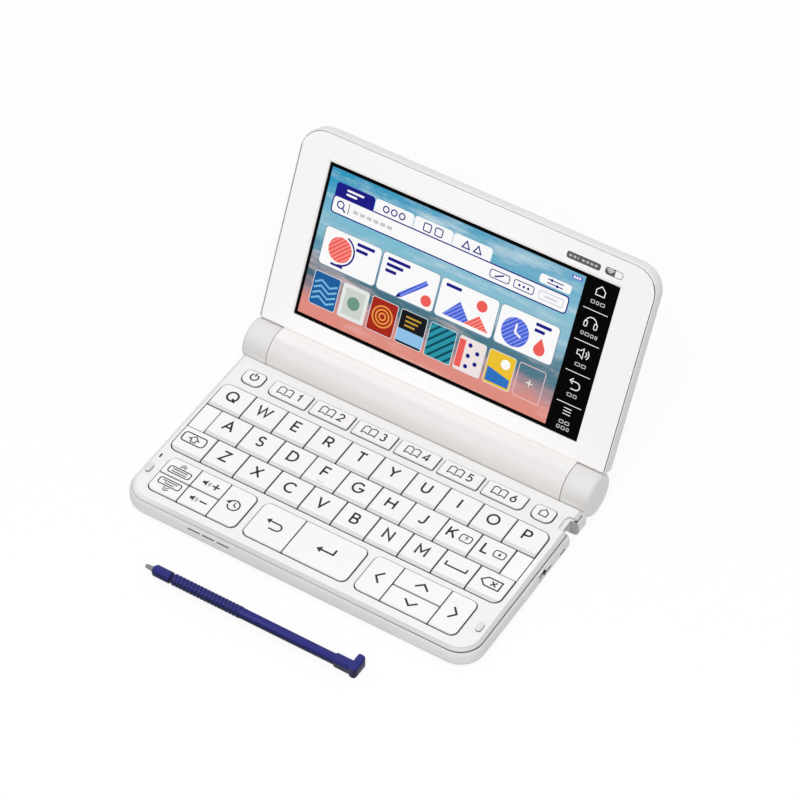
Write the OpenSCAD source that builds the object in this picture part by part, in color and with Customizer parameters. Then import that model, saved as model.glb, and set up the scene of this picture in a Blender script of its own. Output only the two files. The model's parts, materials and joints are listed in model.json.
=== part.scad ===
// Pocket electronic dictionary: a clamshell with a full keyboard, a touch screen and a stylus.
// Millimetres. X runs to the right, Y to the back and Z up from the table.
// It is built open, as it stands in use, with its stylus lying in front of it.

/* [Body] */
// Width of base and lid
body_w = 148; // [142:1:156]
// Hinge axis to the front face of the base
base_depth = 88; // [86:0.5:94]
// Plan radius of the four free corners
corner_r = 10; // [6:0.5:12]
// Height of the case's underside above the table
ground_gap = 0.6; // [0.4:0.1:1]
// Height of the bottom case, from its underside to the seam
case_h = 6.7; // [6.5:0.1:8]
// Floor of the bottom case
floor_t = 1.2; // [0.8:0.1:1.5]
// Side walls of the bottom case
case_wall = 2.4; // [2:0.1:3]
// Hinge axis to the inner face of the rear wall
rear_wall = 11.5; // [11.2:0.1:12]
// Radius of the case's lower edge
belly_r = 2.2; // [1:0.1:3]
// How far the case draws in at the seam
seam_draw = 0.9; // [0.4:0.1:1.2]
// Thickness of the deck cover
deck_t = 1.2; // [1:0.1:1.6]
// Width of the deck's rounded rim
deck_rim = 1.4; // [0.8:0.1:1.8]
// Step from the case to the deck at the seam
deck_step = 0.25; // [0.1:0.05:0.4]
// Height of the shadow gap between case and deck
seam_gap = 0.3; // [0.1:0.05:0.4]

/* [Hinge] */
// Angle between base and lid as it stands
open_angle = 115.8; // [95:0.1:145]
// Diameter of the hinge barrel and its knuckles
barrel_d = 17.1; // [16.6:0.1:18]
// Length of barrel between a hinge pin and a cell contact
barrel_web = 5.3; // [4:0.1:6]
// Running gap round the barrel and at its ends
barrel_gap = 0.3; // [0.2:0.05:0.4]
// Height of the barrel above the table
barrel_clear = 0.8; // [0.6:0.1:1.2]
// Chamfer on each knuckle's outer end
knuckle_chamfer = 0.8; // [0.4:0.1:1.5]
// Diameter of the two hinge pins
pin_d = 5; // [4:0.1:6]
// Length of a pin inside the barrel
pin_len = 5.5; // [4:0.1:6]
// Radial running clearance of a pin
pin_clear = 0.05; // [0.02:0.01:0.1]

/* [Lid] */
// Hinge axis to the far edge of the lid
lid_len = 88.2; // [86:0.2:94]
// Thickness of the lid behind the bezel's face
lid_t = 7.4; // [7:0.1:9]
// Thickness of the bezel plate
bezel_t = 2; // [1.8:0.1:2.4]
// Visible rim of the shell round the bezel
rim_w = 0.65; // [0.5:0.05:1]
// How far the bezel stands in front of the shell's rim
rim_drop = 0.4; // [0.2:0.05:0.8]
// Bezel's face in front of the hinge axis
bezel_offset = 0.15; // [0:0.05:0.2]
// Wall of the lid shell
lid_wall = 1.4; // [1:0.1:1.8]
// Radius of the lid's back edge
lid_edge_r = 2.4; // [1:0.1:3]
// Lower edge of bezel and shell above a knuckle
lid_foot_gap = 0.4; // [0.3:0.05:0.8]

/* [Display] */
// Width of the cover glass
glass_w = 120.4; // [110:0.2:124]
// Height of the cover glass
glass_h = 61.5; // [56:0.5:66]
// Thickness of the cover glass
glass_t = 1.1; // [0.9:0.1:1.3]
// Hinge axis to the lower edge of the glass
glass_v = 16; // [13:0.5:17]
// Depth of the glass below the bezel's face
glass_sink = 0.2; // [0.1:0.05:0.3]
// Gap round the glass
glass_gap = 0.15; // [0.1:0.05:0.25]
// Width of the ledge that carries the glass
ledge_w = 1; // [0.6:0.1:1.5]
// Thickness of the display module under the glass
module_t = 2.6; // [1.8:0.1:2.8]

/* [Cells] */
// Diameter of a battery cell
cell_d = 14.5; // [13.8:0.1:14.5]
// Length of a battery cell with its cap
cell_len = 50.5; // [44:0.5:50.5]
// Radial gap between cell and barrel
cell_gap = 0.25; // [0.15:0.05:0.3]
// Length of a spring contact at each end
contact_len = 1.3; // [0.8:0.1:1.6]
// Arc of the battery cover
cover_arc = 84; // [70:1:90]
// Length of the battery cover
cover_len = 100.4; // [90:0.2:102]
// Travel that frees the battery cover
cover_slide = 2.5; // [1.5:0.1:3]

/* [Keys] */
// Sideways shift of the key layout from the middle
layout_x = -0.6; // [-1.5:0.1:1.5]
// Side face of the base to the letter block
side_margin = 4.25; // [3.8:0.05:6]
// Front face of the base to the lower groups
front_margin = 6.3; // [5:0.1:8]
// Hinge axis to the back of the letter block
grid_back = 24; // [23.5:0.1:24.5]
// Gap between keys and round them
key_gap = 0.45; // [0.2:0.05:0.5]
// Height of the keys above the deck
key_rise = 0.4; // [0.2:0.05:0.5]
// Travel of a key
key_travel = 0.6; // [0.3:0.05:0.6]
// Depth of a letter key's sloped front
slope_run = 1.5; // [0.8:0.1:2]
// Drop of a letter key's sloped front
slope_drop = 0.3; // [0.2:0.05:0.6]
// Corner radius of the letter block
block_r = 3; // [1:0.25:4]
// Gap between keys in the upper row
tab_gap = 2.05; // [1.5:0.05:3]
// Depth of the upper row
tab_depth = 7; // [6:0.1:7.5]
// Hinge axis to the back of the upper row
tab_back = 13.5; // [12.8:0.1:14]
// Width of the power key and the home key
round_key_w = 8.2; // [7:0.1:8.6]
// Corner radius at the two ends of the upper row's tabs
tab_end_r = 2.2; // [0.5:0.1:2.5]
// Side of the letter block to the power key and to the home key
round_key_inset = 3.65; // [3:0.05:5]
// Gap between letter block and lower groups
lower_gap = 2.9; // [2.4:0.1:4]
// Gap between two lower groups
group_gap = 3.5; // [2:0.1:5]
// Depth of the lower groups
lower_depth = 17; // [14:0.1:17.4]
// Corner radius of the lower groups
lower_r = 2.4; // [1:0.1:3]

/* [Stylus] */
// Diameter of the stylus
stylus_d = 4.4; // [4:0.1:4.4]
// Length of the stylus
stylus_len = 89.4; // [80:0.2:92]
// Thickness of its head
head_t = 4.6; // [4.4:0.1:4.6]
// Length of the head's leg
leg_len = 7.5; // [7:0.1:7.8]
// Width of the head's leg
leg_w = 3.4; // [2.8:0.1:3.6]
// Clearance of the stylus in its channel
channel_gap = 0.15; // [0.1:0.05:0.15]
// Front face of the base to the stylus on the table
stylus_out = 19.7; // [14:0.1:30]
// Middle of the object to the end of the stylus head
stylus_end = 41; // [30:0.5:50]
// Hinge axis to the middle of the stylus channel
channel_y = 16.9; // [16.6:0.1:17.2]

/* [Fittings] */
// Height of a sound slit
slit_h = 0.5; // [0.3:0.05:0.6]
// Length of the port cover
port_len = 15.2; // [14:0.1:17]
// Height of the port cover
port_h = 4.2; // [4:0.1:4.4]
// Thickness of the port cover
port_t = 1.2; // [0.9:0.1:1.5]
// Hinge axis to the rear end of the port cover
port_y = 36.6; // [34:0.1:38]
// Length of one sound slit
slit_len = 5.1; // [4:0.1:5.6]
// Radius of a foot pad
foot_r = 3.2; // [2.5:0.1:4]
// Front face of the base to the front feet
foot_front = 9.5; // [8:0.5:14]
// Side face of the base to the front feet
foot_side = 16; // [12:0.5:30]
// Length of a bumper on the deck
bumper_len = 4.2; // [3:0.1:5]
// Width of a bumper on the deck
bumper_w = 2; // [1.6:0.1:2.4]
// Front face of the base to the bumpers
bumper_front = 14.6; // [13:0.1:20]
// Diameter of a screw
screw_d = 2; // [1.6:0.1:2.2]
// Side face of the base to a front screw
screw_inset = 4.6; // [4.4:0.1:5]
// Thickness of the circuit board
board_t = 0.8; // [0.6:0.1:1]

/* [Hidden] */
$fn = 64;

half_w = body_w / 2;
barrel_r = barrel_d / 2;
hinge_z = barrel_clear + barrel_r;
lean = 180 - open_angle;

seam_z = ground_gap + case_h;
deck_z = seam_z + deck_t;
key_z = deck_z + key_rise;
inner_z = ground_gap + floor_t;
deck_half = half_w - seam_draw - deck_step;
deck_front = base_depth - seam_draw - deck_step;
deck_back = barrel_r - 0.55;
seam_in = 0.6;
// The case runs a little into the knuckles at the seam.
knuckle_lap = 0.06;
case_rear = sqrt(barrel_r * barrel_r - (hinge_z - seam_z) * (hinge_z - seam_z)) - knuckle_lap;

lid_half = half_w;
shell_back = bezel_offset - lid_t;
shell_rim = bezel_offset - rim_drop;
bezel_back = bezel_offset - bezel_t;
bezel_half = lid_half - rim_w;
lid_foot = barrel_r + lid_foot_gap;

// The stylus channel lies on the case's floor, the board lies on the channel's roof.
channel_w = head_t + 2 * channel_gap;
channel_floor = 0.55;
channel_z = ground_gap + channel_floor;
channel_wall = 0.7;
roof_t = 0.3;
board_z = channel_z + channel_w + roof_t;
press_clear = 0.05;
key_bottom = board_z + board_t + key_travel + press_clear;
notch_x = half_w - leg_w - channel_gap;
notch_side = 0.85;
notch_under = 1.6;
notch_wall = 0.9;
slope_in = 1.5;
slope_fall = 0.6;
tip_clear = 0.6;
channel_end = half_w - stylus_len - tip_clear;

// Cells end to end between two contacts, and the seam between barrel and cover.
bore_r = cell_d / 2 + cell_gap;
cell_split = 0.2;
cap_len = 1.3;
cap_r = 2.75;
bore_half = cell_len + cell_split + contact_len;
half_barrel = bore_half + barrel_web + pin_len;
cover_gap = 0.15;
cover_seam = 0.8;
cover_skin = barrel_r - bore_r - 0.12;
cover_mid = 180;

port_z = ground_gap + 1.6;
port_gap = 0.15;
port_pocket_h = 3.6;
nail_len = 3.8;
nail_h = 0.8;
nail_r = 9;
nail_dip = 1;
strap_y = 23;
slot_len = 3.6;
slot_depth = 2;
post_r = 1.9;
rim_gap = 0.15;
rim_depth = 0.6;
boss_z = inner_z + 2;
screw_sink = 0.3;
head_h = 1.15;
rear_screw = [7.3, 11.4];
front_screw = [screw_inset, base_depth - 8.7];
screws = [for (s = [-1, 1], p = [front_screw, rear_screw]) [s * (half_w - p[0]), -p[1]]];
feet = [for (s = [-1, 1]) [s * (half_w - foot_side), foot_front - base_depth]];
foot_seat = 0.35;
rib_w = 8;
rib_t = 1;
rib_x = half_w * 0.68;
rib_ys = [case_wall + 1.6 - base_depth, 36 - base_depth, 54 - base_depth];
pad_inset = 1.4;
pad_depth = 5.2;
pad_gap = 0.02;
slit_pitch = 6.2;
slit_x = 43.9;
slit_count = 3;
plug = [7, 8.6];
speaker_r = 6.6;
speaker_h = 3.2;
chip_h = 1.2;
chips = [[-24, 45 - base_depth, 12], [19.5, 45 - base_depth, 11], [30, 26 - base_depth, 10]];
edge_inset = 0.15;
bumper_x = half_w - side_margin - edge_inset;
bumper_sink = 0.45;
bumper_top = hinge_z - bezel_offset - 0.05;
lamp_slot = [0.8, 2];
lamp_front = 21.7;

// Its bounding box stands centred on the origin: stylus in front, leaning lid behind.
box_front = base_depth + stylus_out + head_t / 2;
box_back = (lid_len - lid_edge_r) * cos(lean) - (shell_back + lid_edge_r) * sin(lean) + lid_edge_r;
hinge_y = (box_front - box_back) / 2;

function arc(c, r, a0, a1, n = 6) =
    [for (i = [0:n]) c + r * [cos(a0 + (a1 - a0) * i / n), sin(a0 + (a1 - a0) * i / n)]];

// A rectangle with its own radius at each corner: front left, front right, back right, back left.
function plate(x0, y0, x1, y1, r) = concat(
    arc([x0 + r[0], y0 + r[0]], r[0], 180, 270), arc([x1 - r[1], y0 + r[1]], r[1], 270, 360),
    arc([x1 - r[2], y1 - r[2]], r[2], 0, 90), arc([x0 + r[3], y1 - r[3]], r[3], 90, 180));

module base_frame() {
    translate([0, hinge_y, 0]) children();
}

// The lid's own frame: Y up the lid from the hinge axis, Z out of the screen.
module lid_frame() {
    translate([0, hinge_y, hinge_z]) rotate([lean, 0, 0]) children();
}

module along_x(x0, x1) {
    translate([x0, 0, 0]) rotate([90, 0, 90]) linear_extrude(x1 - x0) children();
}

module rod(x0, x1, r) {
    translate([x0, 0, 0]) rotate([0, 90, 0]) cylinder(h = x1 - x0, r = r);
}

// A tub with two round corners towards -Y. The profile lists [inset, height] upwards.
module tub(half, front, back, r, profile) {
    last = len(profile) - 1;
    edge = concat([[0, profile[0][1]]], [for (p = profile) [r - p[0], p[1]]],
        [[0, profile[last][1]]]);
    run = front - r - back;
    for (s = [0, 1]) mirror([s, 0, 0]) translate([half - r, -front + r, 0]) {
        rotate([0, 0, 270]) rotate_extrude(angle = 90) polygon(edge);
        translate([0, run, 0]) rotate([90, 0, 0]) linear_extrude(run) polygon(edge);
    }
    translate([half - r, -front + r, 0]) rotate([90, 0, -90])
        linear_extrude(2 * (half - r)) polygon(edge);
    translate([r - half, -front + r, profile[0][1]])
        cube([2 * (half - r), run, profile[last][1] - profile[0][1]]);
}

function round_foot(r, z, n = 5) =
    [for (i = [0:n]) [r * (1 - sin(90 * i / n)), z + r * (1 - cos(90 * i / n))]];

case_profile = concat(round_foot(belly_r, ground_gap),
    [[0, seam_z - 2.4], [seam_draw * 0.35, seam_z - 1], [seam_draw, seam_z]]);

// Outer body of the bottom case, whole, as the port cover is cut from it too.
module case_body() {
    tub(half_w, base_depth, case_rear, corner_r, case_profile);
}

knuckle_in = half_barrel + barrel_gap;
knuckle_out = half_w - 0.1;

module knuckle() {
    inner = knuckle_in;
    outer = knuckle_out;
    translate([inner, 0, hinge_z]) rotate([0, 90, 0]) rotate_extrude() polygon([[0, 0],
        [barrel_r, 0], [barrel_r, outer - inner - knuckle_chamfer],
        [barrel_r - knuckle_chamfer * 0.75, outer - inner], [0, outer - inner]]);
    // Foot that joins the knuckle to the case.
    translate([inner, -case_rear - 1, ground_gap])
        cube([half_w - belly_r - inner, case_rear - 3, case_h]);
    translate([0, 0, hinge_z]) rod(half_barrel - pin_len, inner + 1, pin_d / 2);
}

// Hollow that the barrel turns in.
module well() {
    translate([0, 0, hinge_z]) rod(-knuckle_in, knuckle_in, barrel_r + barrel_gap);
}

module channel() {
    translate([channel_end, -channel_y - channel_w / 2, channel_z])
        cube([body_w, channel_w, channel_w]);
}

// Gap at the side of the base for the leg of the stored stylus.
module notch(depth, margin = 0, top = 2 * hinge_z) {
    w = channel_w + 2 * (notch_side + margin);
    translate([notch_x - depth - margin, -channel_y - w / 2, 0]) cube([half_w, w, top]);
}

// Slope that leads a fingertip under the leg.
module fingertip_slope() {
    w = channel_w + 2 * notch_side;
    translate([0, -channel_y + w / 2, 0]) rotate([90, 0, 0]) linear_extrude(w)
        polygon([[notch_x - slope_in, seam_z], [notch_x, seam_z - slope_fall],
            [body_w, seam_z - slope_fall], [body_w, seam_z + 1], [notch_x - slope_in, seam_z + 1]]);
}

module bottom_case() color("whitesmoke") base_frame() difference() {
    union() {
        difference() {
            union() {
                case_body();
                // Rear wall reaches under the barrel.
                translate([-half_barrel, -case_rear - 0.1, ground_gap])
                    cube([2 * half_barrel, case_rear - 5, case_h]);
            }
            case_cavity();
            well();
        }
        sleeve();
        bosses();
        for (s = [0, 1]) mirror([s, 0, 0]) knuckle();
    }
    channel();
    notch(0);
    notch(notch_under, 0, channel_z + channel_w);
    fingertip_slope();
    screw_holes();
    wall_openings();
    for (f = feet) translate([f[0], f[1], 0]) cylinder(h = ground_gap + foot_seat, r = foot_r + 0.1);
}

module case_cavity() {
    ir = corner_r - case_wall;
    translate([0, 0, inner_z]) linear_extrude(case_h) polygon(plate(-half_w + case_wall,
        -base_depth + case_wall, half_w - case_wall, -rear_wall, [ir, ir, 0.5, 0.5]));
    for (p = screws) translate([p[0], p[1], boss_z]) cylinder(h = case_h, r = post_r + 0.15);
}

module sleeve() {
    translate([channel_end - channel_wall, -channel_y - channel_w / 2 - channel_wall, ground_gap])
        cube([half_w - 1.5 - channel_end, channel_w + 2 * channel_wall, board_z - ground_gap]);
    // Walls of the notch, up to the seam.
    intersection() {
        notch(notch_under, notch_wall, seam_z);
        case_body();
    }
}

module bosses() {
    for (p = screws) translate([p[0], p[1], ground_gap])
        cylinder(h = boss_z - ground_gap, r = post_r + 0.6);
    // Ribs that carry the board.
    for (y = rib_ys, x = [-rib_x, 0, rib_x]) translate([x - rib_w / 2, y - rib_t / 2, inner_z])
        cube([rib_w, rib_t, board_z - inner_z]);
}

module screw_holes() {
    for (p = screws) translate([p[0], p[1], 0]) {
        cylinder(h = boss_z, r = screw_d / 2 + 0.15);
        cylinder(h = ground_gap + screw_sink + head_h, r = screw_d + 0.1);
    }
}

module wall_openings() {
    // Sound slits through the front wall.
    for (i = [0:slit_count - 1]) translate([i * slit_pitch - slit_x, -base_depth - 1, seam_z - 1.9])
        cube([slit_len, case_wall + 1.1, slit_h]);
    // Port cover's seat, the pocket behind it and the nail scoop at its rear end.
    translate([half_w - port_t - port_gap, -port_y - port_len - port_gap, port_z - port_gap])
        cube([5, port_len + 2 * port_gap, port_h + 2 * port_gap]);
    translate([half_w - case_wall - 1, -port_y - port_len + 1, port_z + (port_h - port_pocket_h) / 2])
        cube([5, port_len - 2, port_pocket_h]);
    translate([half_w - case_wall - 0.1, -port_y - port_gap, port_z + (port_h - nail_h) / 2])
        cube([body_w, nail_len, nail_h]);
    // Narrow strap slot.
    translate([half_w - slot_depth, -strap_y - slot_len, port_z + 0.7])
        cube([body_w, slot_len, nail_h]);
}

module rim_outline(gap) {
    x = half_w - case_wall - gap;
    r = corner_r - case_wall - gap;
    polygon(plate(-x, -base_depth + case_wall + gap, x, -rear_wall - rim_gap, [r, r, 0.1, 0.1]));
}

// The deck stands on a narrower foot, and this draws a dark seam all round.
deck_profile = [[seam_in, seam_z], [seam_in, seam_z + seam_gap], [0, seam_z + seam_gap],
    [0.1, seam_z + deck_t * 0.5], [deck_rim * 0.35, seam_z + deck_t * 0.8], [deck_rim, deck_z]];

module deck_cover() color("white") base_frame() difference() {
    union() {
        difference() {
            tub(deck_half, deck_front, deck_back, corner_r - seam_draw, deck_profile);
            key_openings();
        }
        // Locating rim inside the case wall, and the screw posts.
        translate([0, 0, seam_z - rim_depth]) linear_extrude(rim_depth) difference() {
            rim_outline(rim_gap);
            rim_outline(rim_gap + 0.8);
        }
        for (p = screws) translate([p[0], p[1], boss_z + 0.05])
            cylinder(h = deck_z - boss_z - 0.5, r = post_r);
    }
    translate([0, 0, hinge_z]) rod(-half_w, half_w, barrel_r + barrel_gap);
    for (p = screws) translate([p[0], p[1], 0]) cylinder(h = seam_z + 0.2, r = screw_d / 2 - 0.1);
    for (s = [-1, 1]) translate([layout_x + s * bumper_x, bumper_front - base_depth, deck_z - bumper_sink])
        linear_extrude(1) bumper_outline(0.05);
    translate([layout_x - bumper_x - lamp_slot[0] / 2, lamp_front - base_depth - lamp_slot[1] / 2,
        deck_z - 0.5]) cube([lamp_slot[0], lamp_slot[1], 1]);
    // The rim stops at the walls round the notch.
    notch(notch_under, notch_wall + rim_gap, seam_z);
    // The deck opens round the notch and shows the slope in the case below.
    scoop = channel_w / 2 + notch_side;
    translate([0, 0, seam_z - 1]) linear_extrude(deck_t + 2) polygon(plate(notch_x - slope_in,
        -channel_y - scoop, body_w, -channel_y + scoop + 0.6, [0.8, 0.1, 0.1, 1.8]));
}

// Ten columns fill the width and three rows fill the depth that the other groups leave.
columns = 10;
rows = 3;
block_w = body_w - 2 * side_margin;
key_pitch = block_w / columns;
lower_front = front_margin - base_depth;
lower_back = lower_front + lower_depth;
lower_mid = lower_front + lower_depth / 2;
row_pitch = (-grid_back - lower_gap - lower_back) / rows;
function qx(c) = layout_x + (c - columns / 2) * key_pitch;
function qy(r) = -grid_back - r * row_pitch;

// The upper row's tabs fill the width between the power key and the home key.
tab_count = 6;
round_key_x = block_w / 2 - round_key_inset - round_key_w / 2;
tab_end = 2.85;
tab_pitch = (2 * round_key_x - round_key_w - 2 * tab_end) / tab_count;
tab_w = tab_pitch - tab_gap;
function tab_x(i) = layout_x + (i - tab_count / 2 + 0.5) * tab_pitch - tab_w / 2;
function round_x(s) = layout_x + s * round_key_x;
round_key_r = [2.5, 2.5, 1.5, 1.5];
round_key_set = 0.4;
tab_r = 0.4;
function tab_corners(i) = [i == 0 ? tab_end_r : tab_r, i == tab_count - 1 ? tab_end_r : tab_r,
    tab_r, tab_r];
key_r = 0.4;
homing_bar = [3, 0.5, 0.12];

// The lower groups share the width by these relative key widths.
lower_inset = [4.45, 5.75];
group_parts = [[12.9, 12.8, 11.6], [17, 26.3], [11.3, 19.6, 10.8]];
function sum(v, n) = n <= 0 ? 0 : v[n - 1] + sum(v, n - 1);
function total(g) = sum(group_parts[g], len(group_parts[g]));
group_scale = (block_w - lower_inset[0] - lower_inset[1] - 2 * group_gap) / (total(0) + total(1) + total(2));
function group_start(g) = g == 0 ? layout_x - block_w / 2 + lower_inset[0] :
    group_start(g - 1) + total(g - 1) * group_scale + group_gap;
function group_edges(g) = [for (i = [0:len(group_parts[g])])
    group_start(g) + sum(group_parts[g], i) * group_scale];

// Hole in the deck round the rectangle given, which holds the keys' own edges.
module opening(x0, y0, x1, y1, r) {
    g = key_gap;
    translate([0, 0, seam_z - 2]) linear_extrude(deck_t + 4)
        polygon(plate(x0 - g, y0 - g, x1 + g, y1 + g, [for (a = r) a + g]));
}

module key_openings() {
    g = key_gap / 2;
    difference() {
        opening(qx(0) + g, qy(3) + g, qx(10) - g, qy(0) - g, [block_r, block_r, block_r, block_r]);
        // Blank fillers beside the middle row.
        for (x = [qx(0) - 1, qx(9.5) + g]) translate([x, qy(2) + g, 0])
            cube([key_pitch / 2 + 1 - g, row_pitch - key_gap, deck_z]);
    }
    // A groove draws the outer side of each blank filler.
    for (c = [0, 10]) translate([qx(c) - key_gap / 2, qy(2), deck_z - 0.4])
        cube([key_gap, row_pitch, 1]);
    for (i = [0:tab_count - 1]) opening(tab_x(i), -tab_back - tab_depth, tab_x(i) + tab_w, -tab_back,
        tab_corners(i));
    for (s = [-1, 1]) opening(round_x(s) - round_key_w / 2, -tab_back - tab_depth,
        round_x(s) + round_key_w / 2, -tab_back - round_key_set, round_key_r);
    for (g = [0:2]) opening(group_edges(g)[0], lower_front,
        group_edges(g)[len(group_parts[g])], lower_back, [lower_r, lower_r, lower_r, lower_r]);
}

module bumper_outline(gap) {
    x = bumper_w / 2 + gap;
    y = bumper_len / 2 + gap;
    r = x - 0.01;
    polygon(plate(-x, -y, x, y, [r, r, r, r]));
}

module main_board() color("seagreen") base_frame() difference() {
    board_half = half_w - case_wall - 1.9;
    r = corner_r - case_wall;
    union() {
        translate([0, 0, board_z]) linear_extrude(board_t) polygon(plate(-board_half,
            -base_depth + case_wall + 1.2, board_half, -rear_wall - 1, [r, r, 1, 1]));
        // Port connector behind the port cover.
        translate([half_w - case_wall - plug[0] - 1, -port_y - port_len / 2 - plug[1] / 2, port_z + 0.5])
            cube([plug[0], plug[1], board_z - port_z - 0.5]);
        // Speaker behind the sound slits.
        translate([slit_pitch * 1.3 - slit_x, speaker_r + 4.4 - base_depth, board_z - speaker_h])
            cylinder(h = speaker_h, r = speaker_r);
        for (c = chips) translate([c[0] - c[2] / 2, c[1] - c[2] / 2, board_z - chip_h])
            cube([c[2], c[2], chip_h]);
    }
    for (p = screws) translate([p[0], p[1], 0]) cylinder(h = 2 * hinge_z, r = post_r + 0.4);
    for (s = [0, 1]) mirror([s, 0, 0]) translate([half_w - rear_screw[0] - post_r - 0.8,
        -rear_screw[1] - post_r - 1.7, 0]) cube([body_w, 2 * rear_wall, 2 * hinge_z]);
    notch(notch_under, notch_wall + 0.3);
}

module rubber_feet() color("dimgray") base_frame() {
    for (f = feet) translate([f[0], f[1], 0])
        cylinder(h = ground_gap + foot_seat - pad_gap, r = foot_r);
    // Pads under the knuckles.
    for (s = [0, 1]) mirror([s, 0, 0]) difference() {
        translate([knuckle_in + pad_inset, -pad_depth / 2, 0])
            cube([knuckle_out - knuckle_in - 2 * pad_inset, pad_depth, barrel_clear + barrel_r / 4]);
        translate([0, 0, hinge_z]) rod(-half_w, half_w, barrel_r + pad_gap);
    }
    for (s = [-1, 1]) translate([layout_x + s * bumper_x, bumper_front - base_depth, deck_z - bumper_sink])
        linear_extrude(bumper_top - deck_z + bumper_sink) bumper_outline(0);
}

// Cross-head screws that stand in the case and bite into the deck's posts.
module case_screws() color("silver") base_frame() for (p = screws)
    translate([p[0], p[1], ground_gap + screw_sink]) difference() {
        slot = screw_d * 1.1;
        union() {
            cylinder(h = head_h, r = screw_d - 0.1);
            cylinder(h = seam_z - ground_gap - 0.6, r = screw_d / 2 - 0.12);
        }
        for (a = [0, 90]) rotate([0, 0, a]) translate([-slot / 2, -slot / 8, 0])
            cube([slot, slot / 4, head_h / 2]);
    }

module port_cover() color("gainsboro") base_frame() difference() {
    intersection() {
        case_body();
        translate([half_w - port_t, -port_y - port_len, port_z]) cube([5, port_len, port_h]);
    }
    // Dip that leads a fingernail into the slot behind the cover's end.
    translate([half_w + nail_r - nail_dip, -port_y - 0.2, port_z + (port_h - port_pocket_h) / 2])
        cylinder(h = port_pocket_h, r = nail_r);
}

shell_profile = concat(round_foot(lid_edge_r, shell_back),
    [[0, shell_rim - 0.6], [0.15, shell_rim]]);

module lid_shell() color("white") lid_frame() difference() {
    union() {
        mirror([0, 1, 0]) tub(lid_half, lid_len, lid_foot, corner_r, shell_profile);
        // Apron between the knuckles, down to the barrel.
        translate([-half_barrel, 4, shell_back + 0.4])
            cube([2 * half_barrel, lid_foot - 4, bezel_back - shell_back - 0.4]);
    }
    rod(-half_barrel - 1, half_barrel + 1, barrel_r + 0.05);
    // Hollow behind the screen.
    translate([0, 0, shell_back + lid_wall]) linear_extrude(lid_t) polygon(plate(
        -lid_half + lid_wall + 0.6, lid_foot + lid_wall, lid_half - lid_wall - 0.6,
        lid_len - lid_wall - 0.6, [2, 2, corner_r - 2, corner_r - 2]));
    // Seat of the bezel.
    translate([0, 0, bezel_back - 0.02]) linear_extrude(lid_t) bezel_outline(-0.15);
    // The foot of the shell slopes back above the knuckles.
    for (s = [0, 1]) mirror([s, 0, 0]) translate([half_barrel, lid_foot, shell_back])
        rotate([90, 0, 90]) linear_extrude(body_w) polygon([[-1, -1], [2.2, -1], [-1, 4]]);
}

module bezel_outline(inset) {
    polygon(plate(-bezel_half + inset, lid_foot + 0.1 + inset, bezel_half - inset,
        lid_len - rim_w - inset, [0.8, 0.8, corner_r - rim_w, corner_r - rim_w]));
}

module ring_sector(r0, r1, a0, a1, x0, x1) {
    translate([x0, 0, 0]) rotate([90, 0, 90]) rotate([0, 0, a0])
        rotate_extrude(angle = a1 - a0) translate([r0, 0]) square([r1 - r0, x1 - x0]);
}

module lid_bezel() color("white") lid_frame() difference() {
    union() {
        translate([0, 0, bezel_back]) linear_extrude(bezel_t) bezel_outline(0);
        translate([-half_barrel, 2, bezel_back]) cube([2 * half_barrel, lid_foot, bezel_t]);
        difference() {
            rod(-half_barrel, half_barrel, barrel_r);
            rod(-bore_half, bore_half, bore_r);
        }
        for (s = [0, 1]) mirror([s, 0, 0]) rod(bore_half - contact_len, bore_half + 1, 2.6);
    }
    // Nothing of the plate reaches into the cell bore.
    rod(-bore_half + contact_len, bore_half - contact_len, bore_r);
    ring_sector(bore_r - 1, barrel_r + 1, cover_mid - cover_arc / 2 - cover_seam,
        cover_mid + cover_arc / 2 + cover_seam, -cover_len / 2 - cover_gap,
        cover_len / 2 + cover_slide + cover_gap);
    for (s = [0, 1]) mirror([s, 0, 0])
        rod(half_barrel - pin_len - 0.3, half_barrel + 1, pin_d / 2 + pin_clear);
    glass_cut(glass_gap, bezel_offset - glass_sink - glass_t, 5);
    glass_cut(-ledge_w, -5, 10);
}

module glass_cut(margin, z, h) {
    translate([-glass_w / 2 - margin, glass_v - margin, z])
        cube([glass_w + 2 * margin, glass_h + 2 * margin, h]);
}

module display_panel() color("black") lid_frame() {
    glass_cut(0, bezel_offset - glass_sink - glass_t, glass_t);
    glass_cut(-ledge_w - glass_gap, bezel_offset - glass_sink - glass_t - module_t, module_t);
}

module batteries() color("goldenrod") lid_frame() for (x = [-cell_len - cell_split / 2, cell_split / 2])
    translate([x, 0, 0]) {
        rod(0, cell_len - cap_len, cell_d / 2);
        rod(cell_len - cap_len, cell_len, cap_r);
    }

module battery_cover() color("white") lid_frame() ring_sector(barrel_r - cover_skin, barrel_r,
    cover_mid - cover_arc / 2, cover_mid + cover_arc / 2, -cover_len / 2, cover_len / 2);

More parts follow.
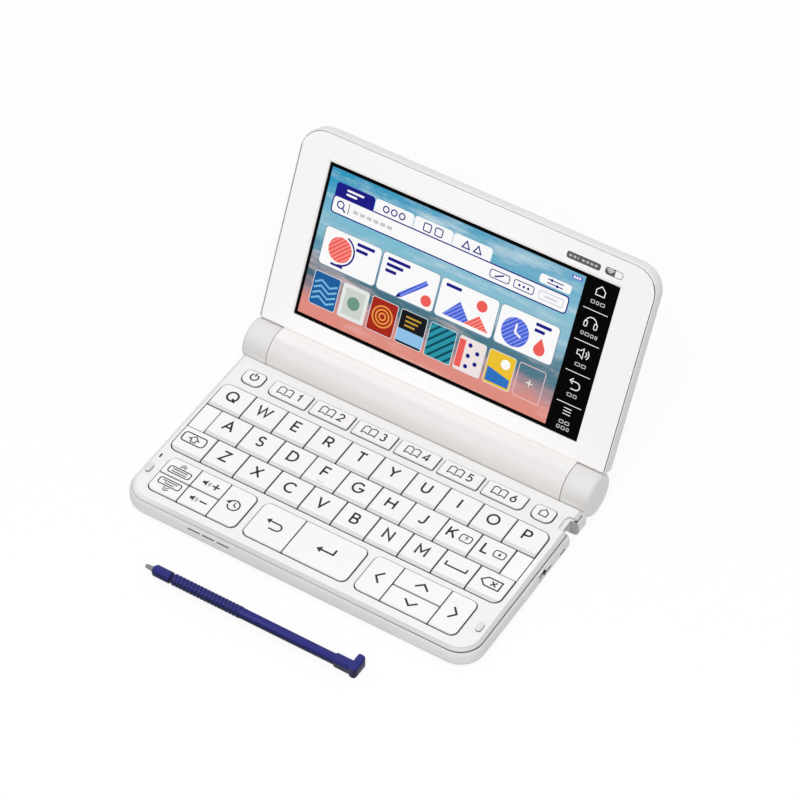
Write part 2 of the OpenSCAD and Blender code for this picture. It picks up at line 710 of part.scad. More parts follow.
// A turned shaft: tip, collar, neck, finger ribs and plain shank, then the square head.
tip_r = 0.95;
tip_len = 3.4;
neck_at = 10.9;
rib_from = 12;
rib_pitch = 1.5;
rib_count = 19;
groove = 0.22;
head_len = 9.8;
heel_r = leg_w * 0.42;
block_step = 0.15;
shaft_end = stylus_len - head_len;
rib_r = stylus_d / 2;
neck_r = rib_r - 0.45;
shank_r = rib_r - 0.2;
rib_end = rib_from + rib_count * rib_pitch;
ribs = [for (i = [0:rib_count - 1], p = [[0, groove], [0.35, 0], [1.05, 0], [1.4, groove]])
    [rib_r - p[1], rib_from + i * rib_pitch + p[0]]];
shaft_profile = concat([[0, 0], [tip_r * 0.4, 0], [tip_r * 0.65, 0.1], [tip_r * 0.85, 0.5], [tip_r, tip_len],
    [tip_r + 0.55, tip_len], [rib_r, tip_len + 0.9], [rib_r, neck_at], [neck_r, neck_at + 0.15],
    [neck_r, rib_from - 0.15]], ribs,
    [[rib_r, rib_end], [shank_r, rib_end + 0.3], [shank_r, shaft_end + 2], [0, shaft_end + 2]]);

// Square bar with its four long edges cut.
module bar_profile(x0, x1, z, cut) {
    polygon([[x0 + cut, -z], [x1 - cut, -z], [x1, cut - z], [x1, z - cut], [x1 - cut, z],
        [x0 + cut, z], [x0, z - cut], [x0, cut - z]]);
}

// L-shaped head: a block in line with the shaft, and a leg that fills the case's notch.
module stylus_head() {
    h = head_t / 2;
    block = h - block_step;
    x = stylus_len - leg_w;
    middle = stylus_len - leg_w / 2;
    intersection() {
        translate([0, 0, -block]) linear_extrude(2 * block)
            polygon(plate(shaft_end, -block, middle, block, [heel_r, 0.1, 0.1, 0.1]));
        along_x(shaft_end, middle) bar_profile(-block, block, block, 0.8);
    }
    intersection() {
        translate([0, 0, -h]) linear_extrude(head_t)
            polygon(plate(x, -h, stylus_len, leg_len - h, [heel_r, heel_r, heel_r, 0.5]));
        translate([0, leg_len, 0]) rotate([90, 0, 0]) linear_extrude(2 * leg_len)
            bar_profile(x, stylus_len, h, 0.6);
    }
}

module stylus() color("darkslateblue")
    translate([stylus_end - stylus_len, hinge_y - base_depth - stylus_out, head_t / 2]) {
        rotate([0, 90, 0]) rotate_extrude() polygon(shaft_profile);
        stylus_head();
    }

// One key cap over the rectangle given, with the gap taken off and an optional sloped front.
module cap(x0, y0, x1, y1, r = [0.5, 0.5, 0.5, 0.5], run = 0.3, drop = 0.2) {
    g = key_gap / 2;
    color("ghostwhite") base_frame() intersection() {
        translate([0, 0, key_bottom]) linear_extrude(key_z - key_bottom)
            polygon(plate(x0 + g, y0 + g, x1 - g, y1 - g, r));
        along_x(x0, x1) polygon([[y0 + g, key_bottom - 1], [y0 + g, key_z - drop],
            [y0 + g + run, key_z], [y1, key_z], [y1, key_bottom - 1]]);
    }
}

module letter(c, row, r = [key_r, key_r, key_r, key_r]) {
    cap(qx(c), qy(row + 1), qx(c + 1), qy(row), r, slope_run, slope_drop);
}

// Raised bar that the forefingers find.
module homing(c) {
    sink = 0.1;
    color("ghostwhite") base_frame() translate([qx(c + 0.5) - homing_bar[0] / 2,
        qy(2) + slope_run + 1, key_z - sink]) cube([homing_bar[0], homing_bar[1], homing_bar[2] + sink]);
}

module tab_key(i) {
    g = key_gap / 2;
    cap(tab_x(i) - g, -tab_back - tab_depth - g, tab_x(i) + tab_w + g, -tab_back + g,
        tab_corners(i));
}

module round_key(s) {
    g = key_gap / 2;
    cap(round_x(s) - round_key_w / 2 - g, -tab_back - tab_depth - g,
        round_x(s) + round_key_w / 2 + g, -tab_back - round_key_set + g, round_key_r);
}

// Key i of a lower group. Ends take the group's corner radius, and half is 1 back or -1 front.
module lower_key(group, i, half = 0) {
    x = group_edges(group);
    n = len(x) - 2;
    g = key_gap / 2;
    y0 = half > 0 ? lower_mid : lower_front - g;
    y1 = half < 0 ? lower_mid : lower_back + g;
    left = i == 0 ? lower_r : 0.3;
    right = i == n ? lower_r : 0.3;
    cap(x[i] - (i == 0 ? g : 0), y0, x[i + 1] + (i == n ? g : 0), y1,
        [half > 0 ? 0.3 : left, half > 0 ? 0.3 : right, half < 0 ? 0.3 : right,
            half < 0 ? 0.3 : left]);
}

module key_power() round_key(-1);
module key_tab_1() tab_key(0);
module key_tab_2() tab_key(1);
module key_tab_3() tab_key(2);
module key_tab_4() tab_key(3);
module key_tab_5() tab_key(4);
module key_tab_6() tab_key(5);
module key_home() round_key(1);
module key_q() letter(0, 0, r = [key_r, key_r, key_r, block_r]);
module key_w() letter(1, 0);
module key_e() letter(2, 0);
module key_r() letter(3, 0);
module key_t() letter(4, 0);
module key_y() letter(5, 0);
module key_u() letter(6, 0);
module key_i() letter(7, 0);
module key_o() letter(8, 0);
module key_p() letter(9, 0, r = [key_r, key_r, block_r, key_r]);
module key_a() letter(0.5, 1);
module key_s() letter(1.5, 1);
module key_d() letter(2.5, 1);
module key_f() union() {
    letter(3.5, 1);
    homing(3.5);
}
module key_g() letter(4.5, 1);
module key_h() letter(5.5, 1);
module key_j() union() {
    letter(6.5, 1);
    homing(6.5);
}
module key_k() letter(7.5, 1);
module key_l() letter(8.5, 1);
module key_shift() letter(0, 2, r = [block_r, key_r, key_r, key_r]);
module key_z() letter(1, 2);
module key_x() letter(2, 2);
module key_c() letter(3, 2);
module key_v() letter(4, 2);
module key_b() letter(5, 2);
module key_n() letter(6, 2);
module key_m() letter(7, 2);
module key_space() letter(8, 2);
module key_delete() letter(9, 2, r = [key_r, block_r, key_r, key_r]);
module key_prev() lower_key(0, 0, 1);
module key_next() lower_key(0, 0, -1);
module key_vol_up() lower_key(0, 1, 1);
module key_vol_down() lower_key(0, 1, -1);
module key_history() lower_key(0, 2);
module key_back() lower_key(1, 0);
module key_enter() lower_key(1, 1);
module key_left() lower_key(2, 0);
module key_up() lower_key(2, 1, 1);
module key_down() lower_key(2, 1, -1);
module key_right() lower_key(2, 2);

bottom_case();
deck_cover();
main_board();
rubber_feet();
case_screws();
port_cover();
lid_shell();
lid_bezel();
display_panel();
batteries();
battery_cover();
stylus();
key_power();
key_tab_1();
key_tab_2();
key_tab_3();
key_tab_4();
key_tab_5();
key_tab_6();
key_home();
key_q();
key_w();
key_e();
key_r();
key_t();
key_y();
key_u();
key_i();
key_o();
key_p();
key_a();
key_s();
key_d();
key_f();
key_g();
key_h();
key_j();
key_k();
key_l();
key_shift();
key_z();
key_x();
key_c();
key_v();
key_b();
key_n();
key_m();
key_space();
key_delete();
key_prev();
key_next();
key_vol_up();
key_vol_down();
key_history();
key_back();
key_enter();
key_left();
key_up();
key_down();
key_right();
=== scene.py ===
"""Looks of a pocket electronic dictionary: a white clamshell with a lit screen and a stylus."""

import functools
import json
import math

import bmesh
import bpy
from mathutils import Matrix, Vector

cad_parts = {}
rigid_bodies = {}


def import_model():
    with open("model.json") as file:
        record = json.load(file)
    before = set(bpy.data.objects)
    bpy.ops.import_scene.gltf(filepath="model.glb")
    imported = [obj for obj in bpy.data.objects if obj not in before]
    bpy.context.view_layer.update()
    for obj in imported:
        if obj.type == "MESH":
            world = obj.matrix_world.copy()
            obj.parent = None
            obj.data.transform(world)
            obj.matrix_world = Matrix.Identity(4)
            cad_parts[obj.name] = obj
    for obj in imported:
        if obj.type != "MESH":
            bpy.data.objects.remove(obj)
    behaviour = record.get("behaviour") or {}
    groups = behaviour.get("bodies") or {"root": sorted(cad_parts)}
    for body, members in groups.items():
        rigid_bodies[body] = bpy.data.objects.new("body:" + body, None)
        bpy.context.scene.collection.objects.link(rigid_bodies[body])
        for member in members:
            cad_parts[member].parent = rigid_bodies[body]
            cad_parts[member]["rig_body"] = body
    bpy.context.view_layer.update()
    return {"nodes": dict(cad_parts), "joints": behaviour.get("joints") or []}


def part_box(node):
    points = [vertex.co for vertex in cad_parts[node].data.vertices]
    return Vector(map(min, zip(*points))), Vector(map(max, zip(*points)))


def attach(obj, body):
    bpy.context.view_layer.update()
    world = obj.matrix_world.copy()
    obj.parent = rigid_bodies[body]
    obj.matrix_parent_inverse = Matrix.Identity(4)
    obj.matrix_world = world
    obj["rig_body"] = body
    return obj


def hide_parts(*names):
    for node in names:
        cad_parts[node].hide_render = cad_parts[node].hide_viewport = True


bl_info = {
    "name": "Electronic dictionary looks",
    "version": (1, 0, 0),
    "blender": (4, 5, 0),
    "location": "View3D > Sidebar > Dictionary",
    "description": "Dresses the packed parts of a pocket electronic dictionary",
    "category": "Object",
}

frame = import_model()

MM = 0.001
UP = (0, 0, 1)
HINGE = Vector(next(j for j in frame["joints"] if j["name"] == "lid_hinge")["pos_m"])
AXIS = HINGE / MM  # a point of the hinge's axis, in millimetres
LID_LEAN = math.radians(64.2)
LID = Matrix.Translation(HINGE) @ Matrix.Rotation(LID_LEAN, 4, "X")
UP_LID = LID.to_3x3() @ Vector((0, 1, 0))
OFF_LID = LID.to_3x3() @ Vector((0, 0, 1))
BARREL_RADIUS = 8.5
KEY_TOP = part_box("key_q")[1].z / MM
SEAM_Z = KEY_TOP - 1.6
KEY_NODES = sorted(name for name in frame["nodes"] if name.startswith("key_"))

# The screen's own plane, in millimetres: x from the middle, v up the lid from the hinge axis.
GLASS_FACE = -0.05
BEZEL_RISE = 0.2  # how far the bezel's printed face stands above the glass
GLASS_LOW, GLASS_HALF, GLASS_HIGH = 16.0, 60.35, 77.65
CHAMFER = 0.8
PICTURE = (-59.0, 17.4, 46.9, 76.2)
STRIP_X = 53.7

# The photograph's camera, as fitted to the key grid and the screen's corners.
CAMERA_PLACE = (0.45461, -0.70796, 0.96624)
CAMERA_RIGHT = (0.8475, 0.5307, -0.0003)
CAMERA_BACK = (0.3587, -0.5724, 0.7374)
SENSOR, FOCAL_RATIO = 36, 4.4254

TABLE_SIZE, TABLE_Z = 8, -0.00005


def box_mm(node):
    """A node's lowest and highest corners at rest, in millimetres."""
    return [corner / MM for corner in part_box(node)]


# Colours


def linear(hex_colour):
    """An sRGB hex colour as linear red, green, blue and alpha."""
    parts = [int(hex_colour[i : i + 2], 16) / 255 for i in (1, 3, 5)]
    return [c / 12.92 if c <= 0.04045 else ((c + 0.055) / 1.055) ** 2.4 for c in parts] + [1.0]


def scaled(colour, factor):
    """A linear colour made darker or lighter."""
    return [min(1, c * factor) for c in colour[:3]] + [1.0]


def swatch(name, hex_colour, description):
    """A colour property that starts from a hex value."""
    return bpy.props.FloatVectorProperty(
        name=name,
        description=description,
        subtype="COLOR",
        size=4,
        min=0,
        max=1,
        default=linear(hex_colour),
    )


def millimetres(name, value, low, high, description):
    """A length property in metres, given here in millimetres."""
    return bpy.props.FloatProperty(
        name=name,
        description=description,
        default=value * MM,
        min=low * MM,
        max=high * MM,
        unit="LENGTH",
        precision=5,
    )


class DictionarySizes(bpy.types.PropertyGroup):
    shell_edge: millimetres("Shell edge", 0.3, 0.05, 0.5, "Radius of the edges of case and lid")
    key_edge: millimetres("Key edge", 0.22, 0.05, 0.3, "Radius of a key's edges")
    stylus_edge: millimetres("Stylus edge", 0.5, 0.05, 0.5, "Radius of the stylus head's edges")
    letter_height: millimetres("Letter height", 5.2, 2, 6, "Height of a capital on a key")
    letter_stroke: millimetres("Letter stroke", 0.82, 0.2, 0.9, "Width of a letter's line on a key")
    stroke: millimetres("Sign stroke", 0.68, 0.2, 0.9, "Width of a sign's line on a key")
    print_rise: millimetres("Print thickness", 0.012, 0.005, 0.05, "Thickness of a print")
    layer: millimetres("Picture layer", 0.012, 0.005, 0.03, "Step between the screen's layers")
    ridge_pitch: millimetres("Ridge pitch", 1.5, 0.8, 3, "Pitch of the ridges on the battery cover")
    ridge_radius: millimetres("Ridge radius", 0.22, 0.1, 0.25, "Half width of a ridge")
    ridge_count: bpy.props.IntProperty(
        name="Ridge count", description="Ridges on the battery cover", default=9, min=2, max=20
    )
    ridge_arc: bpy.props.FloatProperty(
        name="Ridge arc",
        description="Angle that a ridge covers round the barrel",
        subtype="ANGLE",
        default=math.radians(44),
        min=math.radians(10),
        max=math.radians(70),
    )


class DictionaryColours(bpy.types.PropertyGroup):
    body: swatch("Body", "#f3f2f0", "White plastic of case and lid")
    bezel: swatch("Bezel", "#fffefc", "Paint round the screen")
    key: swatch("Keys", "#faf9f7", "White plastic of the keys")
    legend: swatch("Key print", "#1d1d1f", "Ink of the letters and signs")
    plate: swatch("Printed plates", "#4c4c4e", "Ink of the plain plates on the bezel")
    lens: swatch("Lamp lens", "#1f2022", "Lens of the charging lamp")
    bumper: swatch("Bumpers", "#e4e3e0", "Soft bumpers on the deck")
    foot: swatch("Feet", "#8d8d8c", "Rubber under the base")
    stylus: swatch("Stylus", "#2a2a7a", "Plastic of the stylus")
    tip: swatch("Stylus tip", "#8e8d93", "Soft plastic of the stylus tip")
    glass: swatch("Glass", "#050506", "Black print behind the glass")
    sky: swatch("Sky", "#2596bf", "Upper part of the screen's background")
    haze: swatch("Haze", "#86b9cd", "Pale band of the screen's background")
    cloud: swatch("Cloud", "#3c6a7c", "Dark band of the screen's background")
    dusk: swatch("Dusk", "#e28f82", "Lower part of the screen's background")
    navy: swatch("Navy", "#1b1b86", "Lines and titles on the screen")
    card_blue: swatch("Card blue", "#4a63d8", "Blue of the card pictures")
    card_red: swatch("Card red", "#f2605a", "Red of the card pictures")
    board: swatch("Board", "#1d6a45", "Solder mask of the circuit board")


def sizes():
    return bpy.context.scene.dictionary_sizes


def colours():
    return bpy.context.scene.dictionary_colours


# Materials


def fill(socket, value):
    """Links another socket to an input or, where it is no socket, sets it as the input's value."""
    if isinstance(value, bpy.types.NodeSocket):
        socket.id_data.links.new(value, socket)
    else:
        socket.default_value = value


def add(tree, kind, given=None, **settings):
    """Adds a node. A setting is one of its properties or, failing that, goes to an input."""
    node = tree.nodes.new(kind)
    for key, value in settings.items():
        if hasattr(node, key):
            setattr(node, key, value)
        else:
            fill(node.inputs[key.replace("_", " ")], value)
    for key, value in (given or {}).items():
        fill(node.inputs[key], value)
    return node


class Finish:
    """A material in the making, with masks and tones that vary its colour over a piece."""

    def __init__(self, name):
        self.made = bpy.data.materials.new(name)
        self.made.use_nodes = True
        tree = self.made.node_tree
        tree.nodes.clear()
        self.add = functools.partial(add, tree)
        self.shader = self.add("ShaderNodeBsdfPrincipled")
        self.add("ShaderNodeOutputMaterial", Surface=self.shader.outputs["BSDF"])

    def set(self, **values):
        """Gives the shader's own sockets a value or a link."""
        for key, value in values.items():
            fill(self.shader.inputs[key.replace("_", " ")], value)

    @functools.cached_property
    def coordinates(self):
        return self.add("ShaderNodeTexCoord").outputs

    @functools.cached_property
    def point(self):
        """The place on the piece, in millimetres."""
        place = {0: self.coordinates["Object"]}
        return self.add("ShaderNodeVectorMath", place, operation="SCALE", Scale=1 / MM).outputs[0]

    @functools.cached_property
    def at(self):
        return self.add("ShaderNodeSeparateXYZ", Vector=self.point).outputs

    def spots(self, size_mm, detail=2.0):
        """Soft random spots of a size in millimetres."""
        scale = 1 / (size_mm * MM)
        given = {"Vector": self.coordinates["Object"], "Scale": scale, "Detail": detail}
        return self.add("ShaderNodeTexNoise", given).outputs["Fac"]

    def uneven_gloss(self, size_mm, smooth, rough, detail=2.0):
        """A roughness that drifts between two values."""
        spots = self.spots(size_mm, detail)
        gloss = self.add("ShaderNodeMapRange", Value=spots, To_Min=smooth, To_Max=rough)
        self.set(Roughness=gloss.outputs["Result"])

    def along(self, direction):
        """How far the place on the piece lies along a fixed direction, in millimetres."""
        given = {0: self.point, 1: direction}
        return self.add("ShaderNodeVectorMath", given, operation="DOT_PRODUCT").outputs["Value"]

    def tilt(self, toward):
        """Cosine of the angle between the surface and a direction."""
        given = {0: self.coordinates["Normal"], 1: toward}
        return self.add("ShaderNodeVectorMath", given, operation="DOT_PRODUCT").outputs["Value"]

    def chain(self, operation, first, *others):
        """Masks joined into one: by MULTIPLY where all hold, by MAXIMUM where one does."""
        for other in others:
            first = self.add("ShaderNodeMath", {0: first, 1: other}, operation=operation).outputs[0]
        return first

    def between(self, value, low=None, high=None):
        """1 where a value lies between its limits, else 0. None leaves an end open."""
        tests = ((low, "GREATER_THAN"), (high, "LESS_THAN"))
        held = [
            self.add("ShaderNodeMath", {0: value, 1: limit}, operation=operation).outputs[0]
            for limit, operation in tests
            if limit is not None
        ]
        return self.chain("MULTIPLY", *held)

    def region(self, *masks, **spans):
        """1 where all masks are 1 and x, y and z lie in their spans, in millimetres, else 0."""
        blocks = [self.between(self.at[axis.upper()], *span) for axis, span in spans.items()]
        return self.chain("MULTIPLY", *masks, *blocks)

    def fade(self, axis, start, end, low=0.0, high=1.0):
        """A number that goes evenly from low to high between two places on an axis."""
        limits = {"From Min": start, "From Max": end, "To Min": low, "To Max": high}
        return self.add("ShaderNodeMapRange", limits, Value=self.at[axis]).outputs["Result"]

    def tones(self, factor, *stops, between="LINEAR"):
        """The tone at a factor, from pairs of a position and a hex or linear colour."""
        ramp = self.add("ShaderNodeValToRGB", Fac=factor)
        ramp.color_ramp.interpolation = between
        elements = ramp.color_ramp.elements
        elements[0].position = stops[0][0]
        elements[1].position = stops[-1][0]
        inner = [elements.new(at) for at, _ in stops[1:-1]]
        for element, (_, tone) in zip((elements[0], *inner, elements[len(stops) - 1]), stops):
            element.color = linear(tone) if isinstance(tone, str) else tone
        return ramp.outputs["Color"]

    def blended(self, factor, first, second, way="MIX"):
        """The first colour, which passes into the second as the factor goes from 0 to 1."""
        given = {0: factor, 6: first, 7: second}
        return self.add("ShaderNodeMix", given, data_type="RGBA", blend_type=way).outputs[2]

    def paint(self, factor, colour, way="MIX"):
        """Lays a colour over the one that the shader has."""
        under = self.shader.inputs["Base Color"].links[0].from_socket
        self.set(Base_Color=self.blended(factor, under, colour, way))

    def tint(self, factor, *stops):
        """Multiplies the colour by the tones of a factor, or by one hex tone where a mask is 1."""
        if len(stops) == 1:
            stops = ((0.0, "#ffffff"), (1.0, stops[0]))
        self.paint(1.0, self.tones(factor, *stops), "MULTIPLY")


def moulded(name, colour, ior, roughness, grain_mm, height_mm, shade=0.03):
    """Moulded plastic: a fine spark-eroded grain, and a faint change of tone over centimetres."""
    finish = Finish(name)
    tone = finish.blended(finish.spots(35), scaled(colour, 1 - shade), colour)
    grain = finish.spots(grain_mm, 1.0)
    gloss = finish.add(
        "ShaderNodeMapRange",
        Value=grain,
        From_Min=0.3,
        From_Max=0.7,
        To_Min=roughness - 0.05,
        To_Max=roughness + 0.05,
    )
    bump = finish.add("ShaderNodeBump", Height=grain, Strength=0.6, Distance=height_mm * MM)
    finish.set(
        Base_Color=tone, IOR=ior, Roughness=gloss.outputs["Result"], Normal=bump.outputs["Normal"]
    )
    return finish


def white_abs(name):
    # Satin ABS from a finely grained mould: broad soft highlights and no mirror.
    # The real grain is near 0.05 mm, and is drawn at 0.25 mm so that it shows at all.
    grain = {"grain_mm": 0.25, "height_mm": 0.004}
    return moulded(name, colours().body[:], ior=1.53, roughness=0.42, **grain)


def body_plastic():
    # The body's ABS, just as it leaves the mould.
    return white_abs("white_satin_abs").made


def case_plastic():
    # The body's ABS. Level faces inside the slots of its walls and in the seam below the deck get
    # painted shade, and they draw the thin dark lines that the eye sees there.
    finish = white_abs("white_case_abs")
    level = finish.between(finish.tilt(UP), 0.97)
    ahead = finish.region(y=(None, AXIS.y - 17))
    finish.tint(finish.region(level, ahead, z=(2.0, SEAM_Z - 0.3)), "#3a3a39")
    at_side = finish.region(x=(box_mm("bottom_case")[1].x - 2.2, None))
    by_knuckle = finish.region(at_side, y=(None, AXIS.y - 9.5))
    along_rim = finish.chain("MAXIMUM", ahead, by_knuckle)
    depth = finish.chain("MAXIMUM", finish.fade("X", 20, 70, 0.35, 0.9), at_side)
    seam = finish.region(level, along_rim, depth, z=(SEAM_Z - 0.05, None))
    finish.tint(seam, (0.0, "#ffffff"), (0.35, "#d8d7d5"), (1.0, "#3a3a39"))
    # Painted shade darkens the nail slot behind the port cover and the strap slot beyond it, where
    # nothing lights them.
    low, high = box_mm("port_cover")
    for start, length, rise in ((high.y - 0.2, 4.1, 1.5), (AXIS.y - 26.8, 4.0, 0.5)):
        slot = finish.region(
            finish.between(finish.tilt((1, 0, 0)), None, 0.93),
            x=(60, None),
            y=(start, start + length),
            z=(low.z + rise, low.z + rise + 1.2),
        )
        finish.tint(slot, "#4a4a49")
    # Painted shade greys the stylus bay, a moulded pocket that the light hardly reaches.
    bay = {"x": (70.4, None), "y": (AXIS.y - 20.4, AXIS.y - 13.4), "z": (None, SEAM_Z - 0.1)}
    finish.tint(finish.region(**bay), "#c4c3c1")
    # Painted shade darkens the walls' upper slope, most where it is steep but not upright.
    slope = ((0.0, "#ffffff"), (0.12, "#f8f8f7"), (0.3, "#f3f2f1"), (0.6, "#f8f8f7"))
    finish.tint(finish.tilt(UP), *slope, (0.9, "#ffffff"))
    # The knuckles' round faces above the seam, all but those facing right, are tinted a step greyer
    # than the deck.
    turned = finish.between(finish.tilt((1, 0, 0)), None, 0.7)
    finish.tint(finish.region(turned, z=(SEAM_Z + 0.6, None)), "#f0efee")
    return finish.made


def cover_plastic():
    # The body's ABS again. The fingernail's dip in it is steep, and painted shade darkens it.
    finish = white_abs("white_cover_abs")
    low, high = box_mm("port_cover")
    dip = finish.region(
        x=(high.x - 1.3, high.x - 0.12), y=(high.y - 5, None), z=(low.z + 0.32, high.z - 0.25)
    )
    finish.tint(dip, "#a3a3a1")
    return finish.made


def group_fronts():
    """The y of every front wall that has no other key before it, in millimetres."""
    boxes = [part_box(name) for name in KEY_NODES]
    fronts = set()
    for low, high in boxes:
        overlapping = [far for other, far in boxes if other.x < high.x - MM and far.x > low.x + MM]
        if not any(0 <= low.y - far.y + 0.1 * MM < 1.5 * MM for far in overlapping):
            fronts.add(round(low.y, 4))
    return [y / MM for y in sorted(fronts)]


def key_plastic():
    # Matt ABS. The sloped front gets painted shade and looks a little greyer than the top face, and
    # the walls in the gaps get a darker painted shade.
    grain = {"grain_mm": 0.2, "height_mm": 0.003, "shade": 0.015}
    finish = moulded("white_key_abs", colours().key[:], ior=1.53, roughness=0.5, **grain)
    lean = finish.tilt(UP)
    walls = ((0.2, "#8a8988"), (0.9, "#cbcac8"))
    top_and_slope_shade = ((0.975, "#e1e0de"), (0.985, "#e3e2e0"), (0.998, "#fdfdfc"))
    shade = finish.tones(lean, *walls, *top_and_slope_shade)
    # Painted light: the front wall of each group, which stands in the light, is kept pale as far
    # down as the deck.
    fronts = [finish.region(y=(y - 0.3, y + 0.3)) for y in group_fronts()]
    front = finish.chain("MAXIMUM", *fronts)
    lit = finish.region(front, finish.between(lean, None, 0.9), z=(KEY_TOP - 0.4, None))
    finish.paint(1.0, finish.blended(lit, shade, linear("#e6e5e3")), "MULTIPLY")
    return finish.made


def deck_plastic():
    # The body's ABS. The rim that falls away from the top gets painted shade by its tilt and looks
    # a step greyer.
    finish = white_abs("white_deck_abs")
    slope = ((0.0, "#dcdbd9"), (0.35, "#f0efed"), (0.72, "#e3e2e0"), (0.95, "#dcdbd9"))
    rim = finish.tones(finish.tilt(UP), *slope, (0.98, "#dcdbd9"), (0.996, "#ffffff"))
    # Toward the left end the rim's painted shade mostly fades out, leaving it nearly as bright as
    # the top.
    rim_shade_lift = finish.fade("X", -48, -71, 0.0, 0.75)
    finish.paint(1.0, finish.blended(rim_shade_lift, rim, linear("#ffffff")), "MULTIPLY")
    # The two blank fillers beside the middle row are coloured like the keys, and the grooves that
    # set them off get painted shade as dark as the gaps between keys.
    low, high = box_mm("key_a")
    reach = 0.5 - box_mm("key_q")[0].x
    row = finish.region(x=(-reach, reach), y=(low.y - 0.1, high.y + 0.1))
    top = box_mm("deck_cover")[1].z
    finish.tint(finish.region(row, z=(None, top - 0.2)), "#4a4a49")
    finish.paint(finish.region(row, z=(top - 0.05, None)), colours().key[:])
    return finish.made


def shell_plastic():
    # The body's ABS. The lip's inner wall stands in the seam round the bezel and gets painted
    # shade.
    finish = white_abs("white_shell_abs")
    middle = LID @ Vector((0, 47 * MM, 0)) / MM
    given = {0: middle, 1: finish.point}
    inward = finish.add("ShaderNodeVectorMath", given, operation="SUBTRACT")
    toward = finish.add("ShaderNodeVectorMath", {0: inward.outputs[0]}, operation="NORMALIZE")
    finish.tint(finish.tilt(toward.outputs[0]), (0.25, "#ffffff"), (0.4, "#343433"))
    return finish.made


def bezel_paint():
    # Satin white paint on the moulded bezel, whiter and smoother than the unpainted plastic of the
    # barrel below it. The barrel's tone varies with its tilt, lightest toward the fold under the
    # bezel, as painted light against the fold's shade, and the bezel's edge in the seam has no
    # paint and gets painted shade.
    grain = {"grain_mm": 0.3, "height_mm": 0.002, "shade": 0.012}
    finish = moulded("white_bezel_paint", colours().bezel[:], ior=1.5, roughness=0.38, **grain)
    painted = finish.fade("Z", AXIS.z + 7.8, AXIS.z + 9.0)
    barrel = ((0.0, "#e7e6e4"), (0.35, "#ebeae9"), (0.8, "#ebeae9"), (0.93, "#f1f0ef"))
    barrel_tone_and_light = finish.tones(finish.tilt(UP_LID), *barrel, (1.0, "#ffffff"))
    edge = finish.tones(finish.tilt(OFF_LID), (0.15, "#f4f3f2"), (0.5, "#ffffff"))
    finish.paint(1.0, finish.blended(painted, barrel_tone_and_light, edge), "MULTIPLY")
    # The paint is tinted a trace darker toward the right, and the barrel's plastic carries that
    # darker tint all along.
    bright = finish.region(painted, finish.fade("X", 62, 15))
    finish.tint(bright, (0.0, "#faf9f9"), (1.0, "#ffffff"))
    # Painted shade stands for a narrow chamfer that frames the glass: it is darker above the glass
    # and at its left, where the chamfer would fall away from the light.
    foot = AXIS.dot(UP_LID)
    up = finish.along(UP_LID)
    top = finish.between(up, foot + GLASS_HIGH, foot + GLASS_HIGH + CHAMFER)
    side = finish.between(up, foot + GLASS_LOW, foot + GLASS_HIGH)
    outer = GLASS_HALF + CHAMFER
    finish.tint(finish.region(top, x=(-outer, outer)), "#efeeed")
    finish.tint(finish.region(side, x=(-outer, -GLASS_HALF)), "#f3f2f1")
    # Painted shade draws the seam as a thin dark line down the sides, where the lip stands off from
    # the bezel.
    finish.tint(finish.region(painted, x=(None, -73.0)), "#727170")
    wall = finish.between(finish.tilt(OFF_LID), None, 0.95)
    finish.tint(finish.region(painted, wall, x=(71.5, None)), "#8b8a89")
    return finish.made


def lamp_lens():
    # Smoked polycarbonate window over the charging lamp: dark, smooth and a little clear.
    finish = Finish("smoked_lamp_lens")
    finish.uneven_gloss(0.6, smooth=0.12, rough=0.2)
    finish.set(Base_Color=colours().lens[:], IOR=1.58)
    return finish.made


def bezel_ink():
    # Screen-printed ink in the colours of the drawn shapes, flat and slightly matt.
    finish = Finish("printed_bezel_ink")
    ink = finish.add("ShaderNodeVertexColor", layer_name="ink")
    finish.set(Base_Color=ink.outputs["Color"], Roughness=0.5)
    return finish.made


def stylus_plastic():
    # Dyed ABS with a moulded sheen, and a grey acetal tip that starts at a fixed place.
    grain = {"grain_mm": 0.3, "height_mm": 0.006, "shade": 0.08}
    finish = moulded("blue_moulded_abs", colours().stylus[:], ior=1.53, roughness=0.4, **grain)
    finish.set(Specular_IOR_Level=0.18)
    # Painted shade darkens the shaft's downward flanks almost to black, and the grooves between the
    # grip's rings.
    finish.tint(finish.tilt(UP), (0.0, "#77778c"), (0.45, "#9d9db0"), (0.8, "#ffffff"))
    end = box_mm("stylus")[0].x
    points = [v.co / MM for v in frame["nodes"]["stylus"].data.vertices]
    tip = [p for p in points if p.x < end + 2]
    middle = [(min(p[i] for p in tip) + max(p[i] for p in tip)) / 2 for i in (1, 2)]
    given = {0: finish.point, 1: (0, *middle)}
    off = finish.add("ShaderNodeVectorMath", given, operation="SUBTRACT").outputs[0]
    given = {0: off, 1: (0, 1, 1)}
    off = finish.add("ShaderNodeVectorMath", given, operation="MULTIPLY").outputs[0]
    radius = finish.add("ShaderNodeVectorMath", {0: off}, operation="LENGTH").outputs["Value"]
    groove_shade = finish.region(finish.between(radius, None, 2.08), x=(end + 9.5, end + 40.7))
    finish.tint(groove_shade, "#7a7a92")
    finish.paint(finish.region(x=(None, end + 3.39)), colours().tip[:])
    return finish.made


def key_ink():
    # Pad-printed ink: flat and a little rough, with no relief.
    finish = Finish("printed_grey_ink")
    ink = colours().legend[:]
    tone = finish.blended(finish.spots(0.8), scaled(ink, 0.85), scaled(ink, 1.15))
    finish.set(Base_Color=tone, Roughness=0.55)
    return finish.made


def cover_glass():
    # Chemically hardened glass, printed black behind, with a coat that holds back reflections.
    finish = Finish("black_cover_glass")
    finish.uneven_gloss(18, smooth=0.06, rough=0.12, detail=3.0)
    finish.set(Base_Color=colours().glass[:], Specular_IOR_Level=0.015)
    return finish.made


